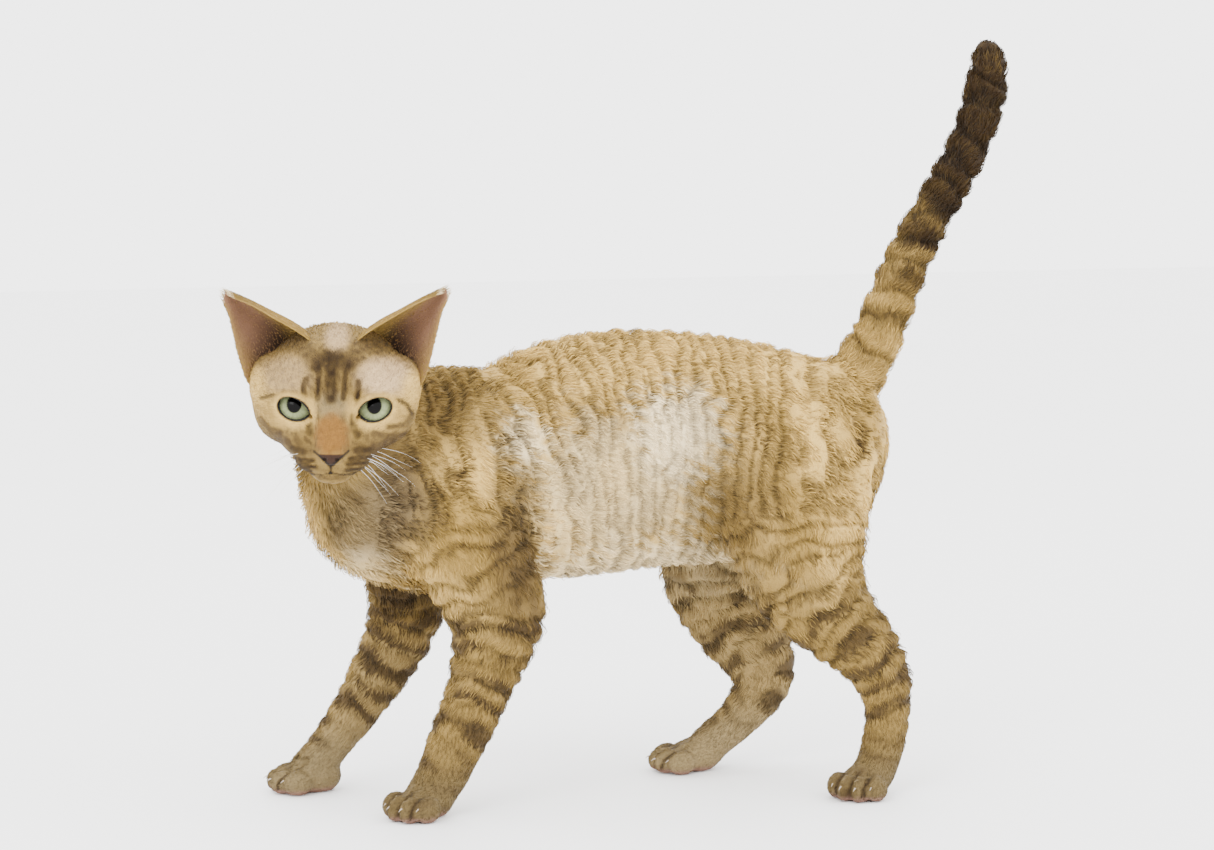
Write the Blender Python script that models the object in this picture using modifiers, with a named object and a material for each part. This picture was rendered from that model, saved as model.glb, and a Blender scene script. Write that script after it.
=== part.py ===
"""A devon rex cat as a still, life-size model: it stands with its head turned to its left and its tail raised.

The cat faces -Y and its left side is +X. Sizes are in millimetres and become metres through MM.
Every station and mass gives the outline out to the tips of the coat. The head is modelled in its own
frame, whose origin lies between the eyeballs, and is then turned and set on the neck.
"""

import math
import random

import bmesh
import bpy
import numpy as np
from mathutils import Matrix, Vector
from mathutils.bvhtree import BVHTree

MM = 0.001

# The gap that neighbouring nodes keep.
GAP = 0.3

# Cell sizes of the clay that the forms are blended in, and the triangles that each form keeps.
BODY_CELL = 2.0
HEAD_CELL = 1.0
BODY_TRIANGLES = 3600
HEAD_TRIANGLES = 3400

# The head's place: the middle between the eyeballs, the turn to the left, the nod and the tilt in degrees.
HEAD_AT = (50, -171, 225)
HEAD_TURN = 74
HEAD_NOD = 12
HEAD_TILT = 1

# The cuts between nodes: a point and the normal of each plane, and the levels of the legs' cuts.
HEAD_CUT = ((19, -160, 211), (-0.6, 0.5, -0.62))
NECK_CUT = ((2, -118, 200), (0.25, -0.62, 0.74))
TAIL_CUTS = (
    ((2, 150, 241), (0, 0.45, 0.9)),
    ((2, 173, 297), (0, 0.4, 0.92)),
    ((2, 206, 354), (0, 0.42, 0.9)),
)
LEG_TOP = 106
PAW_TOP = 23
# Corners this near a cut move onto it, and corners this near the floor move onto the floor.
SNAP = 0.02
FLOOR_SNAP = 0.7

COAT_COLOUR = (0.58, 0.44, 0.28, 1)
EYE_COLOUR = (0.42, 0.5, 0.3, 1)

# The eyeballs: how far they are apart, how far both are off the frame's middle, and their radius.
EYE_APART = 42
EYE_SHIFT = (0.8, 0, 1)
EYE_RADIUS = 10.5
# The lids that cover each eyeball: their radius and blend.
LIDS_RADIUS = 12.2
LIDS_BLEND = 2.5
# The opening between the lids: its centre from the eyeball's, its semi-axes and its slant.
LIDS_AT = (0.2, -8.6, 2.8)
LIDS_SIZE = (8.3, 12, 6.8)
LIDS_SLANT = 9

# The spine bends to the left: x = SPINE_LOW + SPINE_BOW * ((y - SPINE_MID) / SPINE_REACH) ** 2.
SPINE_LOW = -10
SPINE_BOW = 24
SPINE_MID = -10
SPINE_REACH = 150

# Stations are rows of centre x, y, z, half width and half depth.
# The trunk's rows leave x out, because the spine gives it.
TRUNK = (
    (127, 179, 34, 48),
    (114, 183, 42, 56),
    (92, 186, 46, 60.5),
    (62, 189, 45, 64.5),
    (30, 190.5, 45, 67),
    (-5, 189.5, 47, 68.5),
    (-36, 184.5, 48, 66),
    (-62, 177, 46, 60),
    (-92, 175, 43, 61),
    (-118, 172, 40, 56),
    (-137, 169, 38, 47),
    (-150, 167, 34, 38),
)
NECK = (
    (-2, -88, 193, 34, 46.5),
    (0, -116, 197, 34, 45),
    (5, -142, 200, 32, 41),
    (13, -158, 206, 30, 35),
)
TAIL = (
    (2, 106, 198, 16, 17),
    (2, 134, 221, 16, 19),
    (2, 152, 247, 14, 16),
    (2, 164, 275, 13, 15),
    (2, 174.5, 299, 12.5, 14),
    (2, 189, 324, 12.5, 13.5),
    (2, 206, 353, 12, 13),
    (2, 216.5, 380, 12, 13),
    (2, 220, 398, 11.5, 12.5),
    (2, 219.5, 412, 9, 9),
)
FORELEG_LEFT = (
    (30, -100, 165, 16, 28),
    (37, -92, 140, 18, 31),
    (40, -80, 112, 18.5, 28.5),
    (41, -84, 88, 17, 22.5),
    (39, -90, 68, 15, 18.5),
    (37, -97, 50, 14, 17.5),
    (35, -104, 34, 14, 16),
    (34, -110, 20, 14.5, 14.5),
    (33, -116, 12, 14, 12.5),
)
FORELEG_RIGHT = (
    (-30, -118, 160, 16, 24),
    (-37, -114, 133, 18, 25),
    (-42, -109, 108, 18, 23.5),
    (-43, -115.5, 84, 15.5, 20),
    (-44, -126.5, 64, 14, 17),
    (-45, -138, 46, 13, 14.5),
    (-46, -150, 30, 13, 12.5),
    (-47, -160, 18, 13.5, 11.5),
    (-47, -168, 12, 13, 10.5),
)
HIND_LEFT = (
    (24, 92, 186, 18, 34),
    (32, 94, 158, 21, 43),
    (42, 96, 126, 19, 37),
    (48, 111, 101, 16, 26.5),
    (51, 128, 83, 14, 21),
    (52, 140, 64, 12, 17),
    (52, 142.5, 44, 11.5, 13.5),
    (52, 140, 27, 12, 13),
    (52, 136, 14, 13, 12),
)
HIND_RIGHT = (
    (-22, 86, 186, 18, 34),
    (-30, 82, 156, 21, 43),
    (-39, 75, 118, 19, 38),
    (-41, 84, 88, 15.5, 28.5),
    (-41, 98, 66, 13.5, 23),
    (-40, 101, 48, 12, 18.5),
    (-39, 87, 29, 12, 13),
    (-37, 68, 15, 12.5, 11.5),
)
# Muscles over the ribs and the pelvis: centre, semi-axes and turns.
MUSCLES = (
    ((26, -84, 190), (16, 32, 40), (-22, 0, 0)),
    ((-26, -100, 188), (16, 30, 38), (-22, 0, 0)),
    ((29, 86, 172), (21, 44, 42), (20, 0, 0)),
    ((-25, 80, 172), (20, 44, 42), (20, 0, 0)),
)

# The masses of the head in its own frame: centre, semi-axes, turns and blend. Each pair stands on both sides.
SKULL = (
    ((0, 19, 9), (38, 35, 32), (0, 0, 0), 8),
    ((0, 40, 2), (29, 20, 24), (0, 0, 0), 10),
    ((0, 4, -18), (24, 25, 13), (0, 0, 0), 10),
    ((0, 2, 19), (24, 13, 17), (0, 0, 0), 8),
)
SKULL_PAIRS = (
    ((26.5, 11, -2), (17.5, 23, 20.5), (0, 0, 0), 9),
    ((36, 15, 11), (10, 14, 13), (0, 0, 0), 8),
)
FACE = (
    ((0, -9, -24), (14, 16, 10), (0, 0, 0), 6),
    ((0, -17, -30), (11, 9.5, 6), (0, 0, 0), 4),
)
FACE_PAIRS = (
    ((20, -1, 11), (15, 9, 6), (0, -14, 0), 7),
    ((16, -7, -13), (12, 14, 11), (0, 0, 0), 6),
    ((9.5, -17.5, -22), (10.5, 10, 7.5), (0, 0, 0), 4.5),
)
# The bridge of the nose, down to the nose leather.
BRIDGE = (
    (0, -2, 14, 12, 9),
    (0, -10, 4, 10.5, 9),
    (0, -17, -6, 9.5, 8.5),
    (0, -23, -14, 8.5, 7),
    (0, -24.5, -17, 7.5, 5.5),
)
NOSE = ((0, -26.5, -18), (6.8, 4, 4.2), (-20, 0, 0), 1)
NOSTRIL = ((3.3, -30.6, -18.6), (1.7, 3, 1.4), (0, 25, 0), 0.5)
# The lips' line from the middle out to one corner, and the groove under the nose.
LIPS = ((0, -28.5, -26, 1, 1), (6, -27, -27.8, 1, 1), (12, -22, -27.5, 1, 1), (16.5, -14, -25, 1, 1))
GROOVE = ((0, -31, -21.5, 0.8, 1), (0, -28.8, -26, 0.8, 1))
# An ear's rows, from its root up to its tip: the front rim, the ridge of its back and the outer rim.
EAR = (
    ((9, 8, 24), (16, 34, 15), (42, 12, 4)),
    ((10, 5, 33), (20, 35, 26), (47, 10, 13)),
    ((18, 4.5, 40.5), (30, 34, 36), (50.5, 10, 25)),
    ((31, 6.5, 48), (41.5, 30, 45), (53, 11, 36)),
    ((44, 10.5, 54.5), (50, 24.5, 53), (56, 13.5, 48)),
    ((55, 15.8, 58), (57.5, 19.5, 59.5), (59, 16, 55)),
)
# How much higher the left ear is carried than the right one, at the tip.
EAR_LIFT = 3.5
EAR_WALL = 2.4

# The coat's clumps, set around an axis in rows: its two ends, the rows, the clumps around a row, and the
# angles from the top that the rows reach to on the right and on the left.
CLUMP_ROWS = (
    (((6, -92, 182), (-8, -40, 184)), 4, 8, (-124, 124)),
    (((-9, -22, 186), (-6, 40, 186)), 4, 8, (-108, 108)),
    (((-4, 58, 184), (2, 112, 178)), 4, 8, (-124, 124)),
    (((2, -112, 196), (10, -140, 200)), 2, 7, (-150, 150)),
)
# A clump's half length across the lie, half width along it, half depth, and how far it stands up.
CLUMP = (19, 10.5, 6, 2.2)
CLUMP_SEED = 7

# Each paw: name, the place of its wrist on the floor, and its turn.
PAWS = (
    ("forepaw_left", (33.5, -113.5, 0), 36),
    ("forepaw_right", (-46, -156, 0), 2),
    ("hindpaw_left", (52, 133, 0), 46),
    ("hindpaw_right", (-37, 65, 0), 4),
)
TOES = ((-11.5, -19, 6.8), (-4.3, -25, 7.2), (4.3, -25, 7.2), (11.5, -19, 6.8))


def spine_x(y):
    """The sideways place of the spine at a distance along the body."""
    return SPINE_LOW + SPINE_BOW * ((y - SPINE_MID) / SPINE_REACH) ** 2


def empty_scene():
    for obj in list(bpy.data.objects):
        bpy.data.objects.remove(obj)


def linked(name, mesh):
    obj = bpy.data.objects.new(name, mesh)
    bpy.context.scene.collection.objects.link(obj)
    return obj


def from_bmesh(name, bm):
    mesh = bpy.data.meshes.new(name)
    bm.to_mesh(mesh)
    bm.free()
    return linked(name, mesh)


def smooth_rows(rows, steps):
    """The rows with others between them, on a Catmull-Rom curve."""
    table = np.array(rows, float)
    padded = np.concatenate([[2 * table[0] - table[1]], table, [2 * table[-1] - table[-2]]])
    found = []
    for i in range(len(table) - 1):
        a, b, c, d = padded[i : i + 4]
        for t in np.arange(steps) / steps:
            bend = 2 * a - 5 * b + 4 * c - d
            twist = 3 * b - 3 * c + d - a
            found.append((2 * b + (c - a) * t + bend * t**2 + twist * t**3) / 2)
    return np.array(found + [table[-1]])


def turned(centre, turns):
    """A place and its turns about X, Y and Z, in degrees, as a matrix in millimetres."""
    place = Matrix.Translation(centre)
    for axis, angle in zip("XYZ", turns):
        place = place @ Matrix.Rotation(math.radians(angle), 4, axis)
    return place


def head_place():
    return (
        Matrix.Translation(HEAD_AT)
        @ Matrix.Rotation(math.radians(HEAD_TURN), 4, "Z")
        @ Matrix.Rotation(math.radians(HEAD_NOD), 4, "X")
        @ Matrix.Rotation(math.radians(HEAD_TILT), 4, "Y")
    )


def eye_centre(side):
    """The middle of the eyeball on one side, in the head's frame."""
    return Vector((side * EYE_APART / 2, 0, 0)) + Vector(EYE_SHIFT)


class Clay:
    """A block of cells that hold the distance to the surface, in millimetres. Forms blend as they are added."""

    def __init__(self, low, high, cell):
        self.low = np.array(low, float)
        self.cell = cell
        count = np.ceil((np.array(high) - self.low) / cell).astype(int) + 1
        self.field = np.full(count, 60.0)

    def near(self, low, high):
        """The cells between two corners, and their places."""
        first = np.clip(((low - self.low) / self.cell).astype(int), 0, None)
        last = np.minimum(((high - self.low) / self.cell).astype(int) + 2, self.field.shape)
        axes = [self.low[i] + self.cell * np.arange(first[i], last[i]) for i in range(3)]
        part = tuple(slice(a, b) for a, b in zip(first, last))
        return part, np.stack(np.meshgrid(*axes, indexing="ij"), -1)

    def blend(self, part, distance, soft, sign=1):
        old = sign * self.field[part]
        share = np.clip(0.5 + (distance - old) / (2 * soft), 0, 1)
        self.field[part] = sign * (distance + (old - distance) * share - soft * share * (1 - share))

    def ball(self, place, semi_axes, soft, sign=1):
        """Adds an ellipsoid, or cuts it out where the sign is -1."""
        centre = np.array(place.translation)
        reach = max(semi_axes) + soft + 3 * self.cell
        part, points = self.near(centre - reach, centre + reach)
        local = (points - centre) @ np.array(place.to_3x3())
        self.blend(part, oval(local, np.array(semi_axes)), soft, sign)

    def tube(self, stations, soft, place=Matrix(), sign=1, steps=3):
        """Adds a tube of elliptical sections with rounded ends, or cuts it out where the sign is -1."""
        rows = smooth_rows(stations, steps)
        rotation = np.array(place.to_3x3())
        rows[:, :3] = rows[:, :3] @ rotation.T + np.array(place.translation)
        reach = rows[:, 3:].max() + soft + 3 * self.cell
        part, points = self.near(rows[:, :3].min(0) - reach, rows[:, :3].max(0) + reach)
        best = np.full(points.shape[:3], 60.0)
        for one, two in zip(rows, rows[1:]):
            along = two[:3] - one[:3]
            length = np.linalg.norm(along)
            along = along / length
            across = rotation[:, 0] - along * (along @ rotation[:, 0])
            across /= np.linalg.norm(across)
            local = (points - one[:3]) @ np.stack([across, np.cross(along, across), along], 1)
            share = np.clip(local[..., 2] / length, 0, 1)
            local[..., 2] -= share * length
            size = one[3:] + (two[3:] - one[3:]) * share[..., None]
            size = np.concatenate([size, 0.8 * size.min(-1, keepdims=True)], -1)
            best = np.minimum(best, oval(local, size))
        self.blend(part, best, soft, sign)

    def close(self):
        """Shuts the block's walls, and fills corners so that no two sheets of the surface meet in an edge."""
        for axis in range(3):
            for end in (0, -1):
                wall = self.field.swapaxes(0, axis)[end]
                np.maximum(wall, self.cell, out=wall)
        crossings = 1
        while crossings:
            crossings = 0
            for one, two in ((0, 1), (1, 2), (0, 2)):
                grid = np.moveaxis(self.field, (one, two), (0, 1))
                a, b, c, d = grid[:-1, :-1], grid[1:, :-1], grid[:-1, 1:], grid[1:, 1:]
                met = ((a < 0) == (d < 0)) & ((b < 0) == (c < 0)) & ((a < 0) != (b < 0))
                crossings += met.sum()
                for corner in (a, b):
                    corner[met & (corner >= 0)] = -0.1 * self.cell

    def surface(self, name):
        """The closed surface, as an object in metres."""
        self.close()
        field = self.field
        inside = field < 0
        shape = np.array(field.shape) - 1
        corners = [np.array((i, j, k)) for i in (0, 1) for j in (0, 1) for k in (0, 1)]
        count = np.zeros(shape, int)
        for corner in corners:
            count += inside[tuple(slice(c, c + n) for c, n in zip(corner, shape))]
        cells = np.argwhere((count > 0) & (count < 8))
        number = np.full(shape, -1)
        number[tuple(cells.T)] = np.arange(len(cells))
        total = np.zeros(cells.shape)
        hits = np.zeros(len(cells))
        quads = []
        for axis in range(3):
            unit = np.eye(3, dtype=int)[axis]
            for corner in corners:
                if corner[axis]:
                    continue
                a = field[tuple((cells + corner).T)]
                b = field[tuple((cells + corner + unit).T)]
                cross = (a < 0) != (b < 0)
                share = np.where(cross, a / np.where(cross, a - b, 1), 0)
                total += cross[:, None] * (corner + unit * share[:, None])
                hits += cross
            u = np.eye(3, dtype=int)[(axis + 1) % 3]
            v = np.eye(3, dtype=int)[(axis + 2) % 3]
            near = tuple(slice(0, n) if k == axis else slice(1, n) for k, n in enumerate(shape))
            far = tuple(slice(1, n + 1) if k == axis else slice(1, n) for k, n in enumerate(shape))
            for low_inside in (True, False):
                edges = np.argwhere((inside[near] == low_inside) & (inside[far] != low_inside)) + 1 - unit
                around = [number[tuple((edges - step).T)] for step in (0 * u, u, u + v, v)]
                quads.append(np.stack(around if low_inside else around[::-1], 1))
        mesh = bpy.data.meshes.new(name)
        points = self.low + self.cell * (cells + total / hits[:, None])
        mesh.from_pydata((points * MM).tolist(), [], np.concatenate(quads).tolist())
        mesh.update()
        return linked(name, mesh)


def oval(local, size):
    """The distance to an ellipsoid, near enough for blending."""
    one = np.linalg.norm(local / size, axis=-1)
    two = np.linalg.norm(local / size**2, axis=-1)
    return one * (one - 1) / np.maximum(two, 1e-6)


def add_masses(clay, single, pairs, place):
    for centre, semi_axes, turns, soft in single:
        clay.ball(place @ turned(centre, turns), semi_axes, soft)
    for centre, semi_axes, (nod, roll, turn), soft in pairs:
        for s in (-1, 1):
            x, y, z = centre
            clay.ball(place @ turned((s * x, y, z), (nod, s * roll, s * turn)), semi_axes, soft)


def body_clay():
    clay = Clay((-95, -225, -12), (110, 245, 435), BODY_CELL)
    clay.tube([(spine_x(y), y, z, wide, deep) for y, z, wide, deep in TRUNK], 1)
    for centre, semi_axes, turns in MUSCLES:
        clay.ball(turned(centre, turns), semi_axes, 16)
    add_masses(clay, SKULL, SKULL_PAIRS, head_place())
    clay.tube(NECK, 12)
    clay.tube(TAIL, 10)
    for limb in (FORELEG_LEFT, FORELEG_RIGHT, HIND_LEFT, HIND_RIGHT):
        clay.tube(limb, 12)
    for _, wrist, turn in PAWS:
        add_paw(clay, wrist, turn)
    below, points = clay.near(clay.low, clay.low + (400, 500, 14))
    clay.field[below] = np.maximum(clay.field[below], -points[..., 2])
    return clay


def add_paw(clay, wrist, turn):
    """One paw: its pad and four toes, pointing to -Y before the turn."""
    place = Matrix.Translation(wrist) @ Matrix.Rotation(math.radians(turn), 4, "Z")
    clay.ball(place @ turned((0, -7, 8), (0, 0, 0)), (13.5, 16, 11), 5)
    for x, y, r in TOES:
        clay.ball(place @ turned((x, y, 7), (0, 0, 0)), (r * 0.95, 9.5, 8), 2)


def head_clay():
    place = head_place()
    clay = Clay((-32, -232, 150), (112, -108, 290), HEAD_CELL)
    add_masses(clay, SKULL, SKULL_PAIRS, place)
    add_masses(clay, FACE, FACE_PAIRS[:1], place)
    clay.tube(BRIDGE, 4, place)
    add_masses(clay, (NOSE,), FACE_PAIRS[1:], place)
    for s in (-1, 1):
        clay.ball(place @ turned(eye_centre(s), (0, 0, 0)), (LIDS_RADIUS,) * 3, LIDS_BLEND)
    clay.tube(NECK, 12)
    centre, semi_axes, (nod, roll, turn), soft = NOSTRIL
    for s in (-1, 1):
        clay.ball(place @ turned((s * centre[0], *centre[1:]), (nod, s * roll, turn)), semi_axes, soft, -1)
        clay.tube([(s * x, *rest) for x, *rest in LIPS], 0.5, place, -1)
    clay.tube(GROOVE, 0.5, place, -1)
    return clay


def ear(name, side):
    """One ear: a cupped wall that follows the rows of EAR, from its root up to its tip."""
    rows = smooth_rows(EAR, 2)
    loops = []
    for k, (front, ridge, outer) in enumerate(rows):
        bend = 2 * ridge - (front + outer) / 2
        lift = np.array((0, 0, side * EAR_LIFT / 2 * k / (len(rows) - 1)))
        curve = [(1 - t) ** 2 * front + 2 * t * (1 - t) * bend + t**2 * outer for t in np.linspace(0, 1, 7)]
        loops.append(np.array(curve) + lift)
    bm = bmesh.new()
    grid = [[bm.verts.new((side * p[0], p[1], p[2])) for p in loop] for loop in loops]
    for one, two in zip(grid, grid[1:]):
        for k in range(6):
            bm.faces.new((one[k], one[k + 1], two[k + 1], two[k]))
    bmesh.ops.recalc_face_normals(bm, faces=bm.faces)
    bmesh.ops.transform(bm, matrix=Matrix.Scale(MM, 4) @ head_place(), verts=bm.verts)
    obj = from_bmesh(name, bm)
    wall = obj.modifiers.new("wall", "SOLIDIFY")
    wall.thickness = EAR_WALL * MM
    wall.offset = 0
    return evaluated(obj)


def ellipsoid(name, place, semi_axes, around=24, rings=14):
    """An ellipsoid at a place given in millimetres."""
    bm = bmesh.new()
    bmesh.ops.create_uvsphere(bm, u_segments=around, v_segments=rings, radius=1)
    fit = Matrix.Scale(MM, 4) @ place @ Matrix.Diagonal((*semi_axes, 1))
    bmesh.ops.transform(bm, matrix=fit, verts=bm.verts)
    return from_bmesh(name, bm)


def evaluated(obj):
    """The object with its modifiers applied, under the same name; the old one is removed."""
    name = obj.name
    graph = bpy.context.evaluated_depsgraph_get()
    mesh = bpy.data.meshes.new_from_object(obj.evaluated_get(graph))
    bpy.data.objects.remove(obj)
    return linked(name, mesh)


def thinned(obj, triangles):
    """The object with few enough triangles."""
    count = sum(len(p.vertices) - 2 for p in obj.data.polygons)
    thin = obj.modifiers.new("thin", "DECIMATE")
    thin.ratio = triangles / count
    return evaluated(obj)


def sliced(obj, name, point, normal):
    """The part of the object on the side that the normal points to, half a gap off the plane and closed flat."""
    bm = bmesh.new()
    bm.from_mesh(obj.data)
    normal = Vector(normal).normalized()
    plane = (Vector(point) + normal * GAP / 2) * MM
    everything = bm.verts[:] + bm.edges[:] + bm.faces[:]
    cut = bmesh.ops.bisect_plane(
        bm, geom=everything, dist=SNAP * MM, plane_co=plane, plane_no=normal, clear_inner=True
    )
    rim = [part for part in cut["geom_cut"] if isinstance(part, bmesh.types.BMEdge)]
    bmesh.ops.triangle_fill(bm, edges=rim, use_beauty=True, normal=-normal)
    bmesh.ops.recalc_face_normals(bm, faces=bm.faces)
    return from_bmesh(name, bm)


def split(obj, low_name, high_name, point, normal):
    """The two parts of the object beside a plane; the high one is where the normal points."""
    high = sliced(obj, high_name, point, normal)
    low = sliced(obj, low_name, point, [-n for n in normal])
    bpy.data.objects.remove(obj)
    return low, high


def pieces(obj):
    """The separate closed surfaces of the object, each as a mesh of its own."""
    bm = bmesh.new()
    bm.from_mesh(obj.data)
    bm.faces.ensure_lookup_table()
    found = []
    left = set(bm.faces)
    while left:
        shell = {left.pop()}
        front = list(shell)
        while front:
            for edge in front.pop().edges:
                for face in edge.link_faces:
                    if face in left:
                        left.remove(face)
                        shell.add(face)
                        front.append(face)
        piece = bm.copy()
        keep = {face.index for face in shell}
        bmesh.ops.delete(piece, geom=[f for f in piece.faces if f.index not in keep], context="FACES")
        found.append(from_bmesh("piece", piece))
    bm.free()
    bpy.data.objects.remove(obj)
    return sorted(found, key=lambda piece: len(piece.data.vertices), reverse=True)


def cut_by(obj, cutters, grow=0):
    """The object less the cutters, which may be copies that are grown outwards by so many millimetres."""
    for cutter in cutters:
        tool = linked("tool", cutter.data.copy())
        for vertex in tool.data.vertices:
            vertex.co += vertex.normal * grow * MM
        less = obj.modifiers.new("less", "BOOLEAN")
        less.operation = "DIFFERENCE"
        less.solver = "EXACT"
        less.object = tool
        obj = evaluated(obj)
        bpy.data.objects.remove(tool)
    return largest(obj)


def clump(name, place, normal, lie, rng):
    """One rounded clump whose root is sunk in the coat and whose long side lies across the lie of the coat."""
    along = (lie - normal * lie.dot(normal)).normalized()
    across = along.cross(normal)
    length, width, depth, rise = [size * rng.uniform(0.88, 1.12) for size in CLUMP]
    axes = Matrix((across, along, normal)).transposed().to_4x4()
    centre = Matrix.Translation(place - normal * (depth - rise)) @ axes
    return ellipsoid(name, centre @ Matrix.Rotation(rng.uniform(-0.3, 0.3), 4, "Z"), (length, width, depth), 8, 4)


def coated(body):
    """The body with the coat's clumps joined to it."""
    rng = random.Random(CLUMP_SEED)
    tree = BVHTree.FromPolygons([v.co for v in body.data.vertices], [p.vertices[:] for p in body.data.polygons])
    curls = bpy.data.collections.new("curls")
    for (start, end), rows, count, (least, most) in CLUMP_ROWS:
        axis = (Vector(end) - Vector(start)).normalized()
        upright = (Vector((0, 0, 1)) - axis * axis.z).normalized()
        side = upright.cross(axis)
        side *= math.copysign(1, side.x)
        for row in range(rows):
            middle = Vector(start).lerp(Vector(end), row / max(1, rows - 1))
            for k in range(count - row % 2):
                share = (k + 0.5 * (row % 2)) / (count - 1) + rng.uniform(-0.02, 0.02)
                angle = math.radians(least + (most - least) * share)
                ray = upright * math.cos(angle) + side * math.sin(angle)
                hit, normal, _, _ = tree.ray_cast((middle + ray * 95) * MM, -ray)
                curls.objects.link(clump("curl", hit / MM, normal, axis, rng))
    union = body.modifiers.new("coat", "BOOLEAN")
    union.operation = "UNION"
    union.operand_type = "COLLECTION"
    union.collection = curls
    union.solver = "EXACT"
    body = evaluated(body)
    for curl in list(curls.objects):
        bpy.data.objects.remove(curl)
    bpy.data.collections.remove(curls)
    return largest(body)


def largest(obj):
    """Keeps only the largest closed surface of the object."""
    name = obj.name
    kept, *loose = pieces(obj)
    for piece in loose:
        bpy.data.objects.remove(piece)
    kept.name = name
    return kept


def parted_body(body):
    """The body's nodes, parted by flat cuts."""
    front, body = split(body, "front", "body", *HEAD_CUT)
    bpy.data.objects.remove(front)
    body, tail = split(body, "body", "tail", *TAIL_CUTS[0])
    base, tail = split(tail, "tail_base", "tail", *TAIL_CUTS[1])
    middle, tip = split(tail, "tail_middle", "tail_tip", *TAIL_CUTS[2])
    legs, body = split(body, "legs", "body", (0, 0, LEG_TOP), (0, 0, 1))
    for part in split(body, "torso", "neck", *NECK_CUT):
        largest(part)
    parts = pieces(legs)
    for scrap in parts[4:]:
        bpy.data.objects.remove(scrap)
    for leg in parts[:4]:
        x, y, _ = np.mean([vertex.co for vertex in leg.data.vertices], 0)
        end = "fore" if y < 0 else "hind"
        side = "left" if x > 0 else "right"
        split(leg, f"{end}paw_{side}", f"{end}leg_{side}", (0, 0, PAW_TOP), (0, 0, 1))


def dressed(nodes):
    """Puts the nodes over the origin, gives each its own material, and gathers them in the cat's collection."""
    corners = np.array([node.bound_box[k] for node in nodes for k in range(8)])
    middle = (corners.min(0) + corners.max(0)) / 2
    shift = Matrix.Translation((-middle[0], -middle[1], -corners.min(0)[2]))
    group = bpy.data.collections.new("devon_rex_cat")
    bpy.context.scene.collection.children.link(group)
    for node in nodes:
        node.data.transform(shift)
        node.data.name = node.name
        material = bpy.data.materials.new(node.name)
        material.use_nodes = True
        shader = material.node_tree.nodes["Principled BSDF"]
        shader.inputs["Base Color"].default_value = EYE_COLOUR if "eye" in node.name else COAT_COLOUR
        shader.inputs["Roughness"].default_value = 0.2 if "eye" in node.name else 0.85
        node.data.materials.clear()
        node.data.materials.append(material)
        bpy.context.scene.collection.objects.unlink(node)
        group.objects.link(node)


def build():
    empty_scene()
    front = thinned(head_clay().surface("front"), HEAD_TRIANGLES)
    body = thinned(body_clay().surface("body"), BODY_TRIANGLES)
    for vertex in body.data.vertices:
        if vertex.co.z < FLOOR_SNAP * MM:
            vertex.co.z = 0
    for s, side in ((1, "left"), (-1, "right")):
        ear("ear_" + side, s)
        cut_by(bpy.data.objects["ear_" + side], (front, body), 2 * GAP)
    parted_body(coated(body))
    head, back = split(front, "head", "back", *HEAD_CUT)
    bpy.data.objects.remove(back)
    place = head_place()
    tools = []
    for s, side in ((1, "left"), (-1, "right")):
        centre = eye_centre(s)
        middle = place @ turned(centre, (0, 0, 0))
        ellipsoid("eye_" + side, middle, (EYE_RADIUS,) * 3, 16, 10)
        tools.append(ellipsoid("socket", middle, (EYE_RADIUS + GAP,) * 3))
        slant = (0, -s * LIDS_SLANT, 0)
        tools.append(ellipsoid("opening", place @ turned(centre + Vector(LIDS_AT), slant), LIDS_SIZE))
    cut_by(head, tools)
    for tool in tools:
        bpy.data.objects.remove(tool)
    dressed(list(bpy.context.scene.collection.objects))


build()
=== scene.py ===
"""A devon rex cat with its short wavy coat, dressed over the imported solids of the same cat.

Sizes in the tables are in millimetres, in the cat's own frame: it faces -Y, its left side is +X, and the
floor is at 0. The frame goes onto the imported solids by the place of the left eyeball. Every coat and skin
form comes from the same stations and masses as the solids do.
"""

import math

import bmesh
import bpy
import numpy as np
from bpy.props import FloatProperty, FloatVectorProperty, IntProperty, PointerProperty
from mathutils import Matrix, Vector


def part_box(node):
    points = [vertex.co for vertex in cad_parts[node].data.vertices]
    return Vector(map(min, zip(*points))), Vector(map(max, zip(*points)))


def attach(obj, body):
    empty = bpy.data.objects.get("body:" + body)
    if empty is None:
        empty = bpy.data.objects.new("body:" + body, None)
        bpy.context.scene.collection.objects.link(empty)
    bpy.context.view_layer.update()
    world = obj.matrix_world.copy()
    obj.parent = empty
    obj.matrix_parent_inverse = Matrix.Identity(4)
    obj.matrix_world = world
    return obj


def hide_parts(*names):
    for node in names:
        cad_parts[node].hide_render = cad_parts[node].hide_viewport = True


bl_info = {
    "name": "Devon rex cat",
    "version": (1, 0, 0),
    "blender": (4, 5, 0),
    "location": "3D Viewport > Sidebar > Cat",
    "description": "Skin, wavy coat, eyes, whiskers and claws of a standing devon rex cat",
    "category": "Object",
}

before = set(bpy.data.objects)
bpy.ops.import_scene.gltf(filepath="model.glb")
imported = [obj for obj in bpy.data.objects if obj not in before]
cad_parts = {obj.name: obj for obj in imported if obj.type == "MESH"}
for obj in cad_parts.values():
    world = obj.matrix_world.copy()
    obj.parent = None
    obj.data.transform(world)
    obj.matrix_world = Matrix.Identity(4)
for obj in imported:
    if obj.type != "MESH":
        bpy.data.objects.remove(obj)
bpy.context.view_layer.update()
MM = 0.001

# The head's place: the middle between the eyeballs, the turn to the left, the nod and the tilt in degrees.
HEAD_AT = (50, -171, 225)
HEAD_TURN = 74
HEAD_NOD = 12
HEAD_TILT = 1
# The plane where the finely modelled head joins the rest of the skin.
HEAD_CUT = ((19, -160, 211), (-0.6, 0.5, -0.62))

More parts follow.
